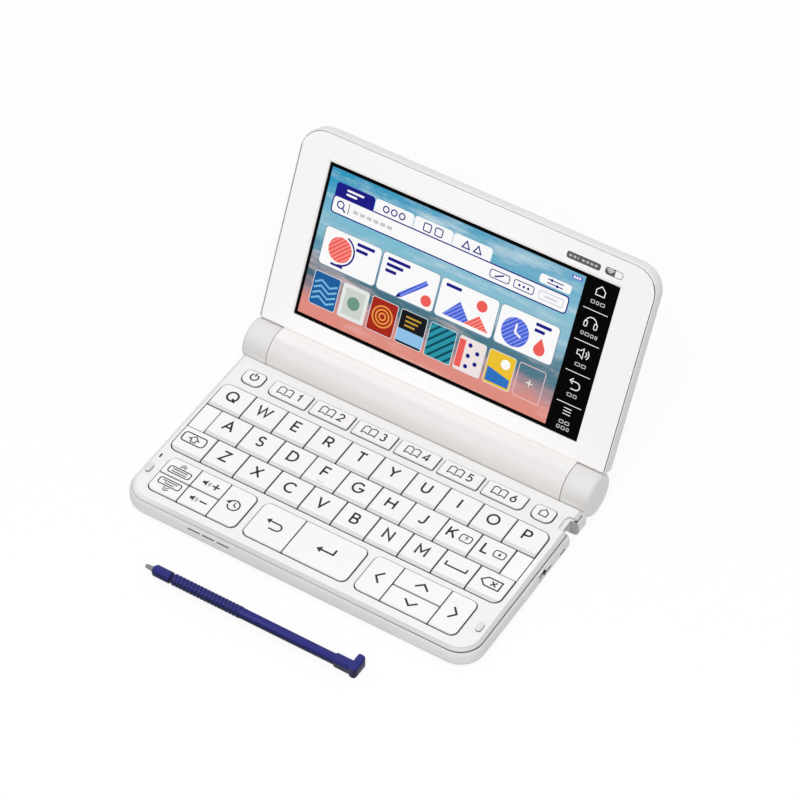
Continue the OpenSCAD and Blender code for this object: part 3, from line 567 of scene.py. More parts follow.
def lit(finish, colour):
    """Light from behind the cover glass, in a colour."""
    finish.set(Base_Color=linear("#050505"), Specular_IOR_Level=0.015, Roughness=0.1)
    finish.set(Emission_Color=colour, Emission_Strength=0.96)
    return finish.made


def lit_picture():
    # What the backlit display shows: colours of the drawn shapes, under the same glass.
    finish = Finish("lit_display_shapes")
    return lit(finish, finish.add("ShaderNodeVertexColor", layer_name="ink").outputs["Color"])


def lit_background():
    # The display's background: a made-up evening sky, from blue over pale haze and a dark band
    # of cloud to a warm dusk, with two scales of soft cloud in it.
    finish = Finish("lit_display_sky")
    add = finish.add
    given = colours()
    dusk, cloud, haze, sky = given.dusk[:], given.cloud[:], given.haze[:], given.sky[:]
    uv = add("ShaderNodeUVMap", uv_map="screen").outputs["UV"]
    part = add("ShaderNodeSeparateXYZ", Vector=uv).outputs
    long = add("ShaderNodeMapping", Vector=uv, Scale=(2.4, 6.0, 1.0)).outputs[0]
    drift = add("ShaderNodeTexNoise", Vector=long, Scale=1.4, Detail=5.0, Roughness=0.6)
    swell = add("ShaderNodeMath", {0: drift.outputs["Fac"], 1: 0.5}, operation="SUBTRACT")
    bend = {0: swell.outputs[0], 1: 0.3, 2: part["Y"]}
    height = add("ShaderNodeMath", bend, operation="MULTIPLY_ADD").outputs[0]
    bands = ((0.1, dusk), (0.18, "#b18a90"), (0.27, cloud), (0.38, cloud), (0.47, "#5f97ae"))
    blues = ((0.57, haze), (0.72, "#7dbdd4"), (0.86, "#46a3c6"), (0.98, sky))
    shown = finish.tones(height, *bands, *blues)
    far = add("ShaderNodeMapping", Vector=uv, Location=(3.1, 1.7, 0.0), Scale=(1.6, 4.2, 1.0))
    puffs = add(
        "ShaderNodeTexNoise", Vector=far.outputs[0], Scale=1.7, Detail=6.0, Roughness=0.66
    ).outputs["Fac"]
    amount = add("ShaderNodeMapRange", Value=puffs, From_Min=0.5, From_Max=0.7, To_Max=0.75)
    glow = finish.tones(part["Y"], (0.28, "#efc4c0"), (0.5, "#dfeaef"))
    shown = finish.blended(amount.outputs["Result"], shown, glow)
    # The right side is paler, as toward a low sun.
    pale = add("ShaderNodeMath", {0: part["X"], 1: part["Y"]}, operation="MULTIPLY").outputs[0]
    weak = add("ShaderNodeMapRange", Value=pale, To_Max=0.42).outputs["Result"]
    return lit(finish, finish.blended(weak, shown, linear("#a6cedb")))


def soft_rubber():
    # Feet in grey silicone rubber and bumpers in a paler one, told apart by their height.
    grain = {"grain_mm": 0.3, "height_mm": 0.006}
    finish = moulded("silicone_rubber", colours().foot[:], ior=1.41, roughness=0.68, **grain)
    finish.paint(finish.region(z=(KEY_TOP * 0.6, None)), colours().bumper[:])
    # Painted shade darkens the steep sides of the feet and bumpers.
    finish.tint(finish.tilt(UP), (0.2, "#8f8e8c"), (0.95, "#ffffff"))
    return finish.made


def board_laminate():
    # Green solder mask with copper tracks under it, and a charcoal dome sheet on its upper side,
    # made dark also as painted shade for what is seen down the gaps between keys.
    finish = Finish("circuit_board_laminate")
    mask = colours().board[:]
    tracks = finish.add(
        "ShaderNodeTexBrick",
        Vector=finish.coordinates["Object"],
        Color1=mask,
        Color2=scaled(mask, 0.9),
        Mortar=linear("#4f9a62"),
        Scale=1 / (4 * MM),
        Mortar_Size=0.035,
        Brick_Width=1.4,
        Row_Height=0.35,
    )
    finish.set(Base_Color=tracks.outputs["Color"], Roughness=0.45)
    top = box_mm("main_board")[1].z
    finish.paint(finish.region(z=(top - 0.3, None)), linear("#2b2b2d"))
    return finish.made


def plated_steel():
    # Zinc-plated steel: a bright grey metal with fine turning marks.
    finish = Finish("zinc_plated_steel")
    finish.uneven_gloss(0.3, smooth=0.28, rough=0.45, detail=3.0)
    finish.set(Base_Color=linear("#b9bbbe"), Metallic=1.0)
    return finish.made


def cell_sleeve():
    # Two plain cells: a shrunk plastic sleeve in dark grey and one orange band, with a steel cap.
    finish = Finish("printed_cell_sleeve")
    cell = 50.6  # a cell's length with half the gap beside it
    turn = finish.add("ShaderNodeMath", {0: finish.at["X"], 1: cell}, operation="PINGPONG")
    along = finish.add("ShaderNodeMapRange", Value=turn.outputs[0], From_Max=cell)
    bands = ((0.0, "#b98a3e"), (0.3, "#26272b"), (0.97, "#c3c4c6"))
    shown = finish.tones(along.outputs["Result"], *bands, between="CONSTANT")
    finish.set(Base_Color=shown, Roughness=0.3)
    return finish.made


# Meshes


def new_piece(mesh, body, material):
    """A piece of the mesh's own name, with its material and body."""
    piece = bpy.data.objects.new(mesh.name, mesh)
    bpy.context.scene.collection.objects.link(piece)
    mesh.materials.clear()
    mesh.materials.append(material)
    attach(piece, body)
    return piece


def from_bmesh(bm, name):
    """The finished mesh of a bmesh, which is freed."""
    mesh = bpy.data.meshes.new(name)
    bm.to_mesh(mesh)
    bm.free()
    return mesh


def smooth_by_angle(mesh, degrees=30):
    """Smooth faces that keep their sharp edges."""
    mesh.shade_smooth()
    mesh.set_sharp_from_angle(angle=math.radians(degrees))


def keep_flat(mesh):
    """Marks sharp the edges where a broad level face meets one that leans, so it shades evenly."""
    leans = {}
    for face in mesh.polygons:
        for edge in face.edge_keys:
            leans.setdefault(edge, []).append(abs(face.normal.z))
    for edge in mesh.edges:
        both = leans.get(tuple(sorted(edge.vertices)), [])
        if len(both) == 2 and max(both) > 0.9999 and min(both) < 0.995:
            edge.use_edge_sharp = True


def dressed_copy(node, name, material, edge, segments=2, angle=32):
    """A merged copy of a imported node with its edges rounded, which stands for that node."""
    source = frame["nodes"][node]
    bm = bmesh.new()
    bm.from_mesh(source.data)
    bmesh.ops.remove_doubles(bm, verts=bm.verts, dist=2e-6)
    bmesh.ops.dissolve_limit(
        bm,
        angle_limit=math.radians(0.6),
        verts=bm.verts,
        edges=bm.edges,
        use_dissolve_boundaries=False,
    )
    mesh = from_bmesh(bm, name)
    smooth_by_angle(mesh, angle)
    keep_flat(mesh)
    piece = new_piece(mesh, source["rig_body"], material)
    bevel = piece.modifiers.new("edges", "BEVEL")
    bevel.width = edge
    bevel.segments = segments
    bevel.limit_method = "ANGLE"
    bevel.angle_limit = math.radians(angle)
    bevel.use_clamp_overlap = True
    bevel.harden_normals = True
    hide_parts(node)
    return piece


# Drawn shapes

BLACK = (0.0, 0.0, 0.0, 1.0)


class Drawing:
    """Flat shapes on a plane, in millimetres, each with a colour and a level above the plane."""

    def __init__(self):
        self.shapes = []
        self.origin = (0, 0)

    def area(self, points, colour=BLACK, level=0):
        x, y = self.origin
        self.shapes.append(([(x + p[0], y + p[1]) for p in points], colour, level))

    def line(self, points, width, colour=BLACK, level=0):
        """A mitred stroke of even width. It is closed where it ends at its start."""
        points = [p for i, p in enumerate(points) if not i or math.dist(p, points[i - 1]) > 1e-5]
        closed = math.dist(points[0], points[-1]) < 1e-6
        if closed:
            points.pop()
        count = len(points)
        sides = []
        for i, p in enumerate(points):
            before = points[i - 1] if closed or i else None
            after = points[(i + 1) % count] if closed or i < count - 1 else None
            normals = []
            for a, b in ((before, p), (p, after)):
                if a is not None and b is not None:
                    d = Vector((b[0] - a[0], b[1] - a[1])).normalized()
                    normals.append(Vector((-d.y, d.x)))
            n = sum(normals, Vector((0, 0))).normalized()
            reach = n * (width / 2 / max(0.4, n.dot(normals[0])))
            sides.append(((p[0] + reach.x, p[1] + reach.y), (p[0] - reach.x, p[1] - reach.y)))
        for i in range(count if closed else count - 1):
            a, b = sides[i], sides[(i + 1) % count]
            self.area([a[1], b[1], b[0], a[0]], colour, level)

    def box(self, x0, y0, x1, y1, radii, colour=BLACK, level=0, pen=None):
        """A filled rectangle with round corners or, with a pen's width, its outline."""
        points = round_box(x0, y0, x1, y1, radii)
        if pen:
            self.line(points + points[:1], pen, colour, level)
        else:
            self.area(points, colour, level)

    def striped(self, shape, colour, stripe, pitch, level):
        """A filled convex shape with slanting stripes over it."""
        self.area(shape, colour, level)
        xs, ys = [p[0] for p in shape], [p[1] for p in shape]
        low, high = min(ys), max(ys)
        x = min(xs) - (high - low)
        while x < max(xs):
            wide, lean = pitch * 0.36, high - low
            bar = [(x, low), (x + wide, low), (x + wide + lean, high), (x + lean, high)]
            piece = clipped(bar, shape)
            if piece:
                self.area(piece, stripe, level + 1)
            x += pitch

    def mesh(self, name, place, rise):
        """The shapes as one mesh. place turns x, y and a height in millimetres into a point."""
        bm = bmesh.new()
        ink = bm.loops.layers.float_color.new("ink")
        for points, colour, level in self.shapes:
            verts = [bm.verts.new(place(x, y, rise * (1 + level))) for x, y in points]
            for loop in bm.faces.new(verts).loops:
                loop[ink] = colour
        bm.normal_update()
        up = (place(0, 0, 1) - place(0, 0, 0)).normalized()
        for face in bm.faces:
            if face.normal.dot(up) < 0:
                face.normal_flip()
        return from_bmesh(bm, name)


def bow(cx, cy, rx, ry, start, end, steps=16):
    """Points on an ellipse, from one angle in degrees to another."""
    turns = [math.radians(start + (end - start) * i / steps) for i in range(steps + 1)]
    return [(cx + rx * math.cos(a), cy + ry * math.sin(a)) for a in turns]


def arc(cx, cy, r, start=0, end=360, steps=16):
    """Points on a circle, from one angle in degrees to another."""
    return bow(cx, cy, r, r, start, end, steps)


def disc(cx, cy, r, steps):
    return arc(cx, cy, r, steps=steps)[:-1]


def round_box(x0, y0, x1, y1, radii, steps=5):
    """A rectangle. radii: none, one for all corners, or four from the lower left round."""
    if not radii:
        return [(x0, y0), (x1, y0), (x1, y1), (x0, y1)]
    r = radii if isinstance(radii, (list, tuple)) else [radii] * 4
    return (
        arc(x0 + r[0], y0 + r[0], r[0], 180, 270, steps)
        + arc(x1 - r[1], y0 + r[1], r[1], 270, 360, steps)
        + arc(x1 - r[2], y1 - r[2], r[2], 0, 90, steps)
        + arc(x0 + r[3], y1 - r[3], r[3], 90, 180, steps)
    )


def loop(*points):
    """A closed path: the points and the first one again."""
    return [*points, points[0]]


def clipped(points, limits):
    """The convex shape 'points' cut to the convex shape 'limits', both anticlockwise."""
    out = points
    for a, b in zip(limits, limits[1:] + limits[:1]):
        side = lambda p: (b[0] - a[0]) * (p[1] - a[1]) - (b[1] - a[1]) * (p[0] - a[0])
        kept = []
        for p, q in zip(out, out[1:] + out[:1]):
            sp, sq = side(p), side(q)
            if sp >= 0:
                kept.append(p)
            if sp * sq < 0:
                t = sp / (sp - sq)
                kept.append((p[0] + (q[0] - p[0]) * t, p[1] + (q[1] - p[1]) * t))
        out = kept
        if len(out) < 3:
            return []
    return out


def on_lid(x, v, rise):
    """A point on the screen, at x and v, lifted by rise. All in millimetres."""
    return LID @ (Vector((x, v, GLASS_FACE + rise)) * MM)


# Key legends

P_BOWL = [(0, 0), (0, 1), (0.34, 1)] + bow(0.34, 0.725, 0.3, 0.275, 90, -90) + [(0, 0.45)]
B_TOP = [(0, 0), (0, 1), (0.34, 1)] + bow(0.34, 0.765, 0.25, 0.235, 90, -90) + [(0, 0.53)]
B_LOW = [(0.34, 0.53)] + bow(0.38, 0.265, 0.28, 0.265, 90, -90) + [(0, 0)]
D_BOWL = [(0, 0), (0, 1), (0.3, 1)] + bow(0.32, 0.5, 0.5, 0.5, 90, -90, 20) + [(0, 0)]
RING = bow(0.52, 0.5, 0.52, 0.5, 0, 360, 32)

# Plain capitals and numerals, 1 high, as pen strokes: the width of each, then its lines.
LETTERS = {
    "A": (0.92, [(0, 0), (0.46, 1), (0.92, 0)], [(0.17, 0.33), (0.75, 0.33)]),
    "B": (0.66, B_TOP, B_LOW),
    "C": (0.88, bow(0.52, 0.5, 0.52, 0.5, 46, 314, 26)),
    "D": (0.82, D_BOWL),
    "E": (0.62, [(0.62, 1), (0, 1), (0, 0), (0.62, 0)], [(0, 0.51), (0.56, 0.51)]),
    "F": (0.6, [(0.6, 1), (0, 1), (0, 0)], [(0, 0.5), (0.54, 0.5)]),
    "G": (1.0, bow(0.52, 0.5, 0.52, 0.5, 46, 356, 28) + [(0.58, 0.46)]),
    "H": (0.78, [(0, 0), (0, 1)], [(0.78, 0), (0.78, 1)], [(0, 0.51), (0.78, 0.51)]),
    "I": (0.0, [(0, 0), (0, 1)]),
    "J": (0.52, [(0.52, 1), (0.52, 0.27)] + arc(0.25, 0.27, 0.27, 0, -150)[1:]),
    "K": (0.74, [(0, 0), (0, 1)], [(0.7, 1), (0.0, 0.36)], [(0.27, 0.6), (0.74, 0)]),
    "L": (0.58, [(0, 1), (0, 0), (0.58, 0)]),
    "M": (0.92, [(0, 0), (0, 1), (0.46, 0.34), (0.92, 1), (0.92, 0)]),
    "N": (0.78, [(0, 0), (0, 1), (0.78, 0), (0.78, 1)]),
    "O": (1.04, RING),
    "P": (0.64, P_BOWL),
    "Q": (1.04, RING, [(0.62, 0.3), (1.0, -0.06)]),
    "R": (0.64, P_BOWL, [(0.34, 0.45), (0.68, 0)]),
    "S": (0.62, bow(0.31, 0.75, 0.27, 0.25, 28, 236) + bow(0.32, 0.255, 0.29, 0.255, 70, -152)),
    "T": (0.76, [(0, 1), (0.76, 1)], [(0.38, 1), (0.38, 0)]),
    "U": (0.74, [(0, 1), (0, 0.37)] + arc(0.37, 0.37, 0.37, 180, 360)[1:] + [(0.74, 1)]),
    "V": (0.88, [(0, 1), (0.44, 0), (0.88, 1)]),
    "W": (1.32, [(0, 1), (0.34, 0), (0.66, 0.94), (0.98, 0), (1.32, 1)]),
    "X": (0.8, [(0, 0), (0.8, 1)], [(0, 1), (0.8, 0)]),
    "Y": (0.84, [(0, 1), (0.42, 0.46), (0.84, 1)], [(0.42, 0.46), (0.42, 0)]),
    "Z": (0.74, [(0.02, 1), (0.72, 1), (0, 0), (0.76, 0)]),
    "1": (0.3, [(0, 0.76), (0.3, 1), (0.3, 0)]),
    "2": (0.64, arc(0.31, 0.69, 0.31, 165, -38) + [(0, 0), (0.64, 0)]),
    "3": (0.6, bow(0.28, 0.755, 0.26, 0.245, 150, -80), bow(0.28, 0.27, 0.31, 0.27, 80, -152)),
    "4": (0.72, [(0.52, 0), (0.52, 1), (0, 0.28), (0.72, 0.28)]),
    "5": (0.6, [(0.56, 1), (0.1, 1), (0.06, 0.55)] + bow(0.27, 0.325, 0.33, 0.325, 118, -145)),
    "6": (0.62, arc(0.32, 0.31, 0.31, steps=24), [(0.5, 1), (0.05, 0.45)]),
    "?": (0.5, arc(0.25, 0.75, 0.25, 175, -70) + [(0.25, 0.3)], [(0.25, 0.1), (0.25, 0)]),
    "*": (
        0.5,
        [(0.25, 1), (0.25, 0.5)],
        [(0.0, 0.66), (0.5, 0.34)],
        [(0.0, 0.34), (0.5, 0.66)],
        [(0.25, 0.5), (0.25, 0)],
    ),
}


def write(drawing, sign, cx, cy, height, pen):
    """One capital or numeral, centred, as high as asked."""
    span, *strokes = LETTERS[sign]
    h = height - pen
    for stroke in strokes:
        points = [(cx + (x - span / 2) * h * 0.94, cy + (y - 0.5) * h) for x, y in stroke]
        drawing.line(points, pen)


def chevron(d, cx, cy, w, h, turn, pen):
    """An open arrow head that points up, turned by an angle in degrees."""
    c, s = math.cos(math.radians(turn)), math.sin(math.radians(turn))
    points = ((-w / 2, -h / 2), (0, h / 2), (w / 2, -h / 2))
    d.line([(cx + x * c - y * s, cy + x * s + y * c) for x, y in points], pen)


def speaker(d):
    """A loudspeaker with two waves, left of the middle."""
    x, s = -1.9, 1.5
    back, front = x - s * 0.4, x + s * 0.15
    cone = [(back, -s * 0.4), (front, -s), (front, s), (back, s * 0.4)]
    d.area([(x - s, -s * 0.4), *cone, (x - s, s * 0.4)])
    for r in (0.55, 0.95):
        d.line(arc(front, 0, s * r, -48, 48, 8), s * 0.18)


def box_sign(d, cx, cy, w, h, pen):
    d.box(cx - w / 2, cy - h / 2, cx + w / 2, cy + h / 2, h * 0.3, pen=pen)


def sign_power(d, t):
    d.line(arc(0, -0.1, 1.55, 122, 418, 20), t * 0.95)
    d.line([(0, 0.3), (0, 2.0)], t * 0.95)


def sign_home(d, t):
    d.line(loop((-1.5, -1.5), (1.5, -1.5), (1.5, 0.5), (0, 1.75), (-1.5, 0.5)), t * 0.7)


def sign_shift(d, t):
    box_sign(d, 0, 0, 9.6, 4.5, t * 0.8)
    head = ((1.0, -0.1), (2.0, -0.1), (0, 1.6), (-2.0, -0.1), (-1.0, -0.1))
    d.line(loop((-1.0, -1.35), (1.0, -1.35), *head), t * 0.7)


def sign_space(d, t):
    d.line([(-4.2, 0.7), (-4.2, -1.1), (4.2, -1.1), (4.2, 0.7)], t)


def sign_delete(d, t):
    d.line(loop((-4.0, 0), (-1.9, -2.0), (3.8, -2.0), (3.8, 2.0), (-1.9, 2.0)), t * 0.85)
    x, r, w = 1.1, 1.05, t * 0.4
    for s in (-1, 1):
        d.line([(x - r, -s * r), (x - w * 0.75, -s * w * 0.75)], t * 0.85)
        d.line([(x + w * 0.75, s * w * 0.75), (x + r, s * r)], t * 0.85)
    d.area([(x - w * 1.5, 0), (x, -w * 1.5), (x + w * 1.5, 0), (x, w * 1.5)])


def sign_page(d, t, up, lengths):
    """A page with two lines of text, and two arrow heads that point up or down beyond it."""
    box_sign(d, -0.1, -0.9 * up, 9.2, 2.9, t * 0.7)
    half = t * 0.325
    for y, length in zip((0.55, -0.55), lengths):
        y -= 0.9 * up
        d.box(-0.1 - length / 2, y - half, length / 2 - 0.1, y + half, half * 0.98)
    for y in (1.55, 2.45):
        chevron(d, -0.1, y * up, 2.5, 0.85, 90 - 90 * up, t * 0.55)


def sign_previous(d, t):
    sign_page(d, t, 1, (6.4, 6.4))


def sign_next(d, t):
    sign_page(d, t, -1, (6.4, 4.2))


def sign_louder(d, t):
    speaker(d)
    x, w, r = 2.2, t * 0.5, 1.5
    arm = [(-r, -w), (-w, -w), (-w, -r), (w, -r), (w, -w), (r, -w)]
    d.area([(x + a, b) for a, b in arm] + [(x - a, -b) for a, b in arm])


def sign_quieter(d, t):
    speaker(d)
    d.line([(0.7, 0), (3.7, 0)], t)


def sign_history(d, t):
    d.line(arc(0, 0, 2.3, 150, -170, 28), t * 0.85)
    d.area([(-3.6, 0.6), (-1.9, 0), (-1.4, 2.2)])
    d.line([(0, 1.4), (0, 0), (1.15, -0.6)], t * 0.75)


def sign_back(d, t):
    turn = arc(1.4, -0.5, 1.6, 80, -90, 12)
    d.line([(-2.6, 1.1), (1.4, 1.1), *turn, (-1.4, -2.1)], t * 0.95)
    d.area([(-4.0, 1.1), (-2.3, -0.2), (-2.3, 2.4)])


def sign_enter(d, t):
    d.line([(3.2, 2.0), (3.2, -0.6), (-1.9, -0.6)], t * 1.15)
    d.area([(-3.9, -0.6), (-1.8, -2.1), (-1.8, 0.9)])


def sign_book(d, t):
    """An open book. Its number stands right of it."""
    x, pen = -2.1, t * 0.66
    w, h = 5.6, 3.7
    for s in (-1, 1):
        leaf = [(0, -0.5 * h), (s * w * 0.28, -0.36 * h), (s * w / 2, -0.5 * h)]
        leaf += [(s * w / 2, 0.36 * h), (s * w * 0.28, 0.5 * h), (s * pen * 0.6, 0.36 * h)]
        d.line([(x + a, b) for a, b in leaf], pen)
    d.line([(x, -0.36 * h), (x, 0.36 * h)], pen)


# Each sign with its place on its key, off the middle of the top.
SIGNS = {
    "key_power": (sign_power, 0, 0.7),
    "key_home": (sign_home, 0, 0.4),
    "key_shift": (sign_shift, -0.6, 1.5),
    "key_space": (sign_space, -0.2, 1.0),
    "key_delete": (sign_delete, 0, 0.9),
    "key_prev": (sign_previous, 0.2, -0.2),
    "key_next": (sign_next, 0.2, 0.5),
    "key_vol_up": (sign_louder, 0.1, 0),
    "key_vol_down": (sign_quieter, 0.1, 0.3),
    "key_history": (sign_history, 0, 0.6),
    "key_back": (sign_back, 0, 0.6),
    "key_enter": (sign_enter, 0, 0.6),
    **{f"key_tab_{number}": (sign_book, -0.2, 0.4) for number in range(1, 7)},
}
ARROWS = {"key_up": 0, "key_down": 180, "key_left": 90, "key_right": -90}
ROWS = {"QWERTYUIOP": 1.3, "ASDFGHJKL": 1.1, "ZXCVBNM": 0.75}
SMALL_SIGNS = {"K": "?", "L": "*"}


def print_key(node, ink):
    """The legend on one key, as thin print that rides on that key."""
    size = sizes()
    low, high = box_mm(node)
    sign = node[4:].upper()
    drawing = Drawing()
    drawing.origin = ((low.x + high.x) / 2, (low.y + high.y) / 2)
    stroke = size.stroke / MM
    if len(sign) == 1:
        dy = next(dy for row, dy in ROWS.items() if sign in row)
        dx = (-0.9 if sign == "J" else -0.5) - (2.3 if sign in SMALL_SIGNS else 0)
        write(drawing, sign, dx, dy, size.letter_height / MM, size.letter_stroke / MM)
        if sign in SMALL_SIGNS:
            box_sign(drawing, 2.9, 0.9, 4.5, 3.2, stroke * 0.66)
            write(drawing, SMALL_SIGNS[sign], 2.9, 0.9, 2.1, stroke * 0.6)
    elif node in ARROWS:
        chevron(drawing, 0, 0.2, 5.2, 2.3, ARROWS[node], stroke * 1.15)
    else:
        draw, dx, dy = SIGNS[node]
        drawing.origin = (drawing.origin[0] + dx, drawing.origin[1] + dy)
        draw(drawing, stroke)
        if node.startswith("key_tab_"):
            write(drawing, node[-1], 3.5 - dx, 0, 3.9, stroke * 0.9)
    place = lambda x, y, up: Vector((x * MM, y * MM, KEY_TOP * MM + up))
    mesh = drawing.mesh(f"print_{node}", place, size.print_rise)
    return new_piece(mesh, frame["nodes"][node]["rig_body"], ink)


# Screen picture

WHITE = linear("#fdfdfd")


def inks():
    """Navy, blue and red of the drawn shapes."""
    given = colours()
    return given.navy[:], given.card_blue[:], given.card_red[:]


def draw_search(d):
    """Four tabs with plain signs on them, and the search field below."""
    navy = inks()[0]
    edges = (-55.8, -39.2, -22.6, -6.2, 10.2)
    for i, (left, right) in enumerate(zip(edges, edges[1:])):
        d.box(left + 0.12, 66.2, right - 0.12, 71.6, [0, 0, 1.3, 1.3], WHITE if i else navy)
    lines, rings, squares, peaks = [(left + right) / 2 for left, right in zip(edges, edges[1:])]
    for k, length in enumerate((7.2, 4.6)):
        y = 69.3 - k * 1.6
        d.box(lines - 3.6, y, lines - 3.6 + length, y + 0.8, 0.35, WHITE, 1)
    for dx in (-3.4, 0, 3.4):
        d.line(arc(rings + dx, 68.9, 1.15, steps=18), 0.5, navy, 1)
    for dx in (-2.4, 2.4):
        d.box(squares + dx - 1.5, 67.4, squares + dx + 1.5, 70.4, 0.5, navy, 1, pen=0.45)
    for x in (peaks - 2.4, peaks + 2.4):
        d.line(loop((x - 1.5, 67.6), (x, 70.3), (x + 1.5, 67.6)), 0.5, navy, 1)
    d.box(-56.0, 59.4, 43.2, 66.5, 1.6, navy, 1)
    d.box(-55.5, 59.9, 42.7, 66.0, 1.2, WHITE, 2)
    d.line(arc(-52.3, 63.4, 1.35, steps=24), 0.5, navy, 3)
    d.line([(-51.3, 62.4), (-50.0, 61.1)], 0.6, navy, 3)
    d.box(-48.9, 60.9, -48.6, 65.1, 0, linear("#30303a"), 3)
    for i in range(6):
        d.box(-46.8 + i * 2.9, 62.2, -44.7 + i * 2.9, 63.5, 0.3, linear("#c9ccd2"), 3)


def draw_buttons(d):
    """Three small buttons in the search field, the slider button and the page mark."""
    navy = inks()[0]
    pale = linear("#ccd0e4")
    for x0, x1, edge in ((11.0, 19.3, navy), (20.9, 29.3, navy), (31.2, 41.3, pale)):
        d.box(x0, 61.2, x1, 64.6, 0.9, edge, 3)
        d.box(x0 + 0.35, 61.55, x1 - 0.35, 64.25, 0.6, WHITE, 4)
    d.line([(13.25, 62.1), (16.75, 63.7)], 0.6, navy, 5)
    for dx in (-1.8, 0, 1.8):
        d.area(disc(25.1 + dx, 62.9, 0.5, 14), navy, 5)
    d.box(33.65, 62.6, 38.85, 63.2, 0.28, pale, 5)
    d.box(30.0, 67.2, 42.8, 70.7, 1.0, WHITE)
    for y, knob in ((69.6, 34.8), (68.2, 37.3)):
        d.box(33.2, y - 0.2, 39.6, y + 0.2, 0.15, navy, 1)
        d.area(disc(knob, y, 0.55, 14), navy, 2)
    d.box(41.6, 73.6, 45.9, 75.2, 0.7, linear("#5d6bd0"))
    for i in range(3):
        d.box(42.3 + i * 1.05, 73.95, 43.1 + i * 1.05, 74.85, 0.15, WHITE, 1)


def draw_cards(d):
    """Four white cards. Each holds title bars and a striped picture of its own."""
    navy, blue, red = inks()
    pale_blue, pale_red = linear("#8b9cf0"), linear("#ff9d94")
    lefts = (-55.6, -30.8, -6.0, 19.0)
    for x in lefts:
        d.box(x - 0.35, 38.5, x + 24.2, 54.1, 1.7, linear("#6f8fa6"))
        d.box(x, 39.0, x + 23.9, 53.9, 1.4, WHITE, 1)
    titles = (((7.5, 5.0), 13.6), ((9.5, 7.0, 4.6), 2.0), ((6.4,), 2.0), ((6.4, 4.2), 14.4))
    for left, (lengths, dx) in zip(lefts, titles):
        for k, length in enumerate(lengths):
            y = 51.2 - k * 2.3
            d.box(left + dx, y, left + dx + length, y + 1.25, 0.3, navy, 2)
    # A globe on a foot.
    d.origin = (lefts[0] + 7.4, 46.8)
    d.striped(disc(0, 0, 4.9, 36), red, pale_red, 1.9, 2)
    d.line(arc(0, 0, 5.9, -88, 70, 20), 0.7, navy, 2)
    d.box(-2.6, -6.7, 2.6, -5.8, 0.3, navy, 3)
    # A pencil and a ball.
    d.origin = (lefts[1] + 15.6, 43.6)
    pencil = [(-6.2, -2.6), (-4.9, -4.0), (4.6, 4.6), (3.3, 6.0)]
    d.striped(pencil, blue, pale_blue, 1.7, 2)
    d.area([(-6.2, -2.6), (-7.2, -4.8), (-4.9, -4.0)], navy, 3)
    d.area(disc(5.0, -1.4, 2.2, 24), red, 2)
    # Two hills and a sun.
    d.origin = (lefts[2], 40.4)
    d.striped([(3.0, 0), (15.0, 0), (9.0, 7.2)], blue, pale_blue, 1.8, 2)
    d.striped([(12.0, 0), (22.4, 0), (17.6, 5.0)], red, pale_red, 1.7, 4)
    d.area(disc(17.6, 8.9, 2.2, 24), red, 2)
    # A clock beside a drop.
    d.origin = (lefts[3] + 7.4, 45.4)
    d.striped(disc(0, 0, 5.6, 36), blue, pale_blue, 1.9, 2)
    d.line([(0, 3.4), (0, 0), (2.6, -1.2)], 0.8, WHITE, 4)
    d.area(arc(10.6, -2.6, 2.3, -210, 30, 20) + [(10.6, 2.0)], red, 2)


def draw_tiles(d):
    """Eight small tiles with plain patterns, the last one empty with a plus."""
    navy, _, red = inks()
    teal = linear("#2c96a8")
    width, height = 10.8, 13.0
    origins = [(-55.6 + i * 12.44, 22.7) for i in range(8)]
    grounds = [linear(tone) for tone in ("#1f5f9e", "#e9ece8", "#a8271c", "#17191f")]
    grounds += [teal, linear("#f2e7e4"), linear("#f1c433")]
    for d.origin, ground in zip(origins, grounds):
        d.box(-0.25, -0.25, width + 0.25, height + 0.25, 1.0, linear("#dfe4ea"))
        d.box(0, 0, width, height, 0.8, ground, 1)
    d.origin = origins[0]
    for k in range(4):
        y = k * 2.2
        wave = [(0.6, y + 2.0), (3.4, y + 3.6), (7.0, y + 1.6), (10.2, y + 3.2)]
        d.line(wave, 0.7, linear("#7fc0e8"), 2)
    d.origin = origins[1]
    d.box(1.2, 1.2, 9.6, height - 1.2, 0.3, linear("#cfd6cf"), 2)
    d.area(disc(5.4, 6.5, 2.6, 24), linear("#6f9a84"), 3)
    d.origin = origins[2]
    for k in range(3):
        d.line(arc(5.4, 6.6, 1.3 + k * 1.4, steps=28), 0.6, linear("#f0a04a"), 2)
    d.origin = origins[3]
    d.box(0, 0.8, width, 5.6, 0, linear("#8fc4ec"), 2)
    for k in range(3):
        y = height - 2.6 - k * 1.7
        d.box(2.2, y, 8.6 - k, y + 0.7, 0, linear("#c79b3c"), 2)
    d.origin = origins[4]
    d.striped(round_box(0, 0, width, height, 0.8), teal, linear("#0d4b5c"), 3.4, 2)
    d.origin = origins[5]
    d.box(0, 1.0, 2.6, height - 1.0, 0, red, 2)
    for k in range(5):
        d.area(disc(4.6 + (k % 2) * 3.4, 2.3 + k * 2.1, 0.85, 16), navy, 2)
    d.origin = origins[6]
    d.area([(0.6, 0.8), (10.2, 0.8), (10.2, 4.2), (0.6, 6.4)], linear("#2f74c4"), 2)
    d.area(disc(7.2, height - 3.6, 1.9, 24), WHITE, 2)
    d.origin = origins[7]
    d.box(0, 0, width, height, 0.8, linear("#f0c9cc"), pen=0.3)
    d.line([(4.1, 6.5), (6.7, 6.5)], 0.35, WHITE, 1)
    d.line([(5.4, 5.2), (5.4, 7.8)], 0.35, WHITE, 2)


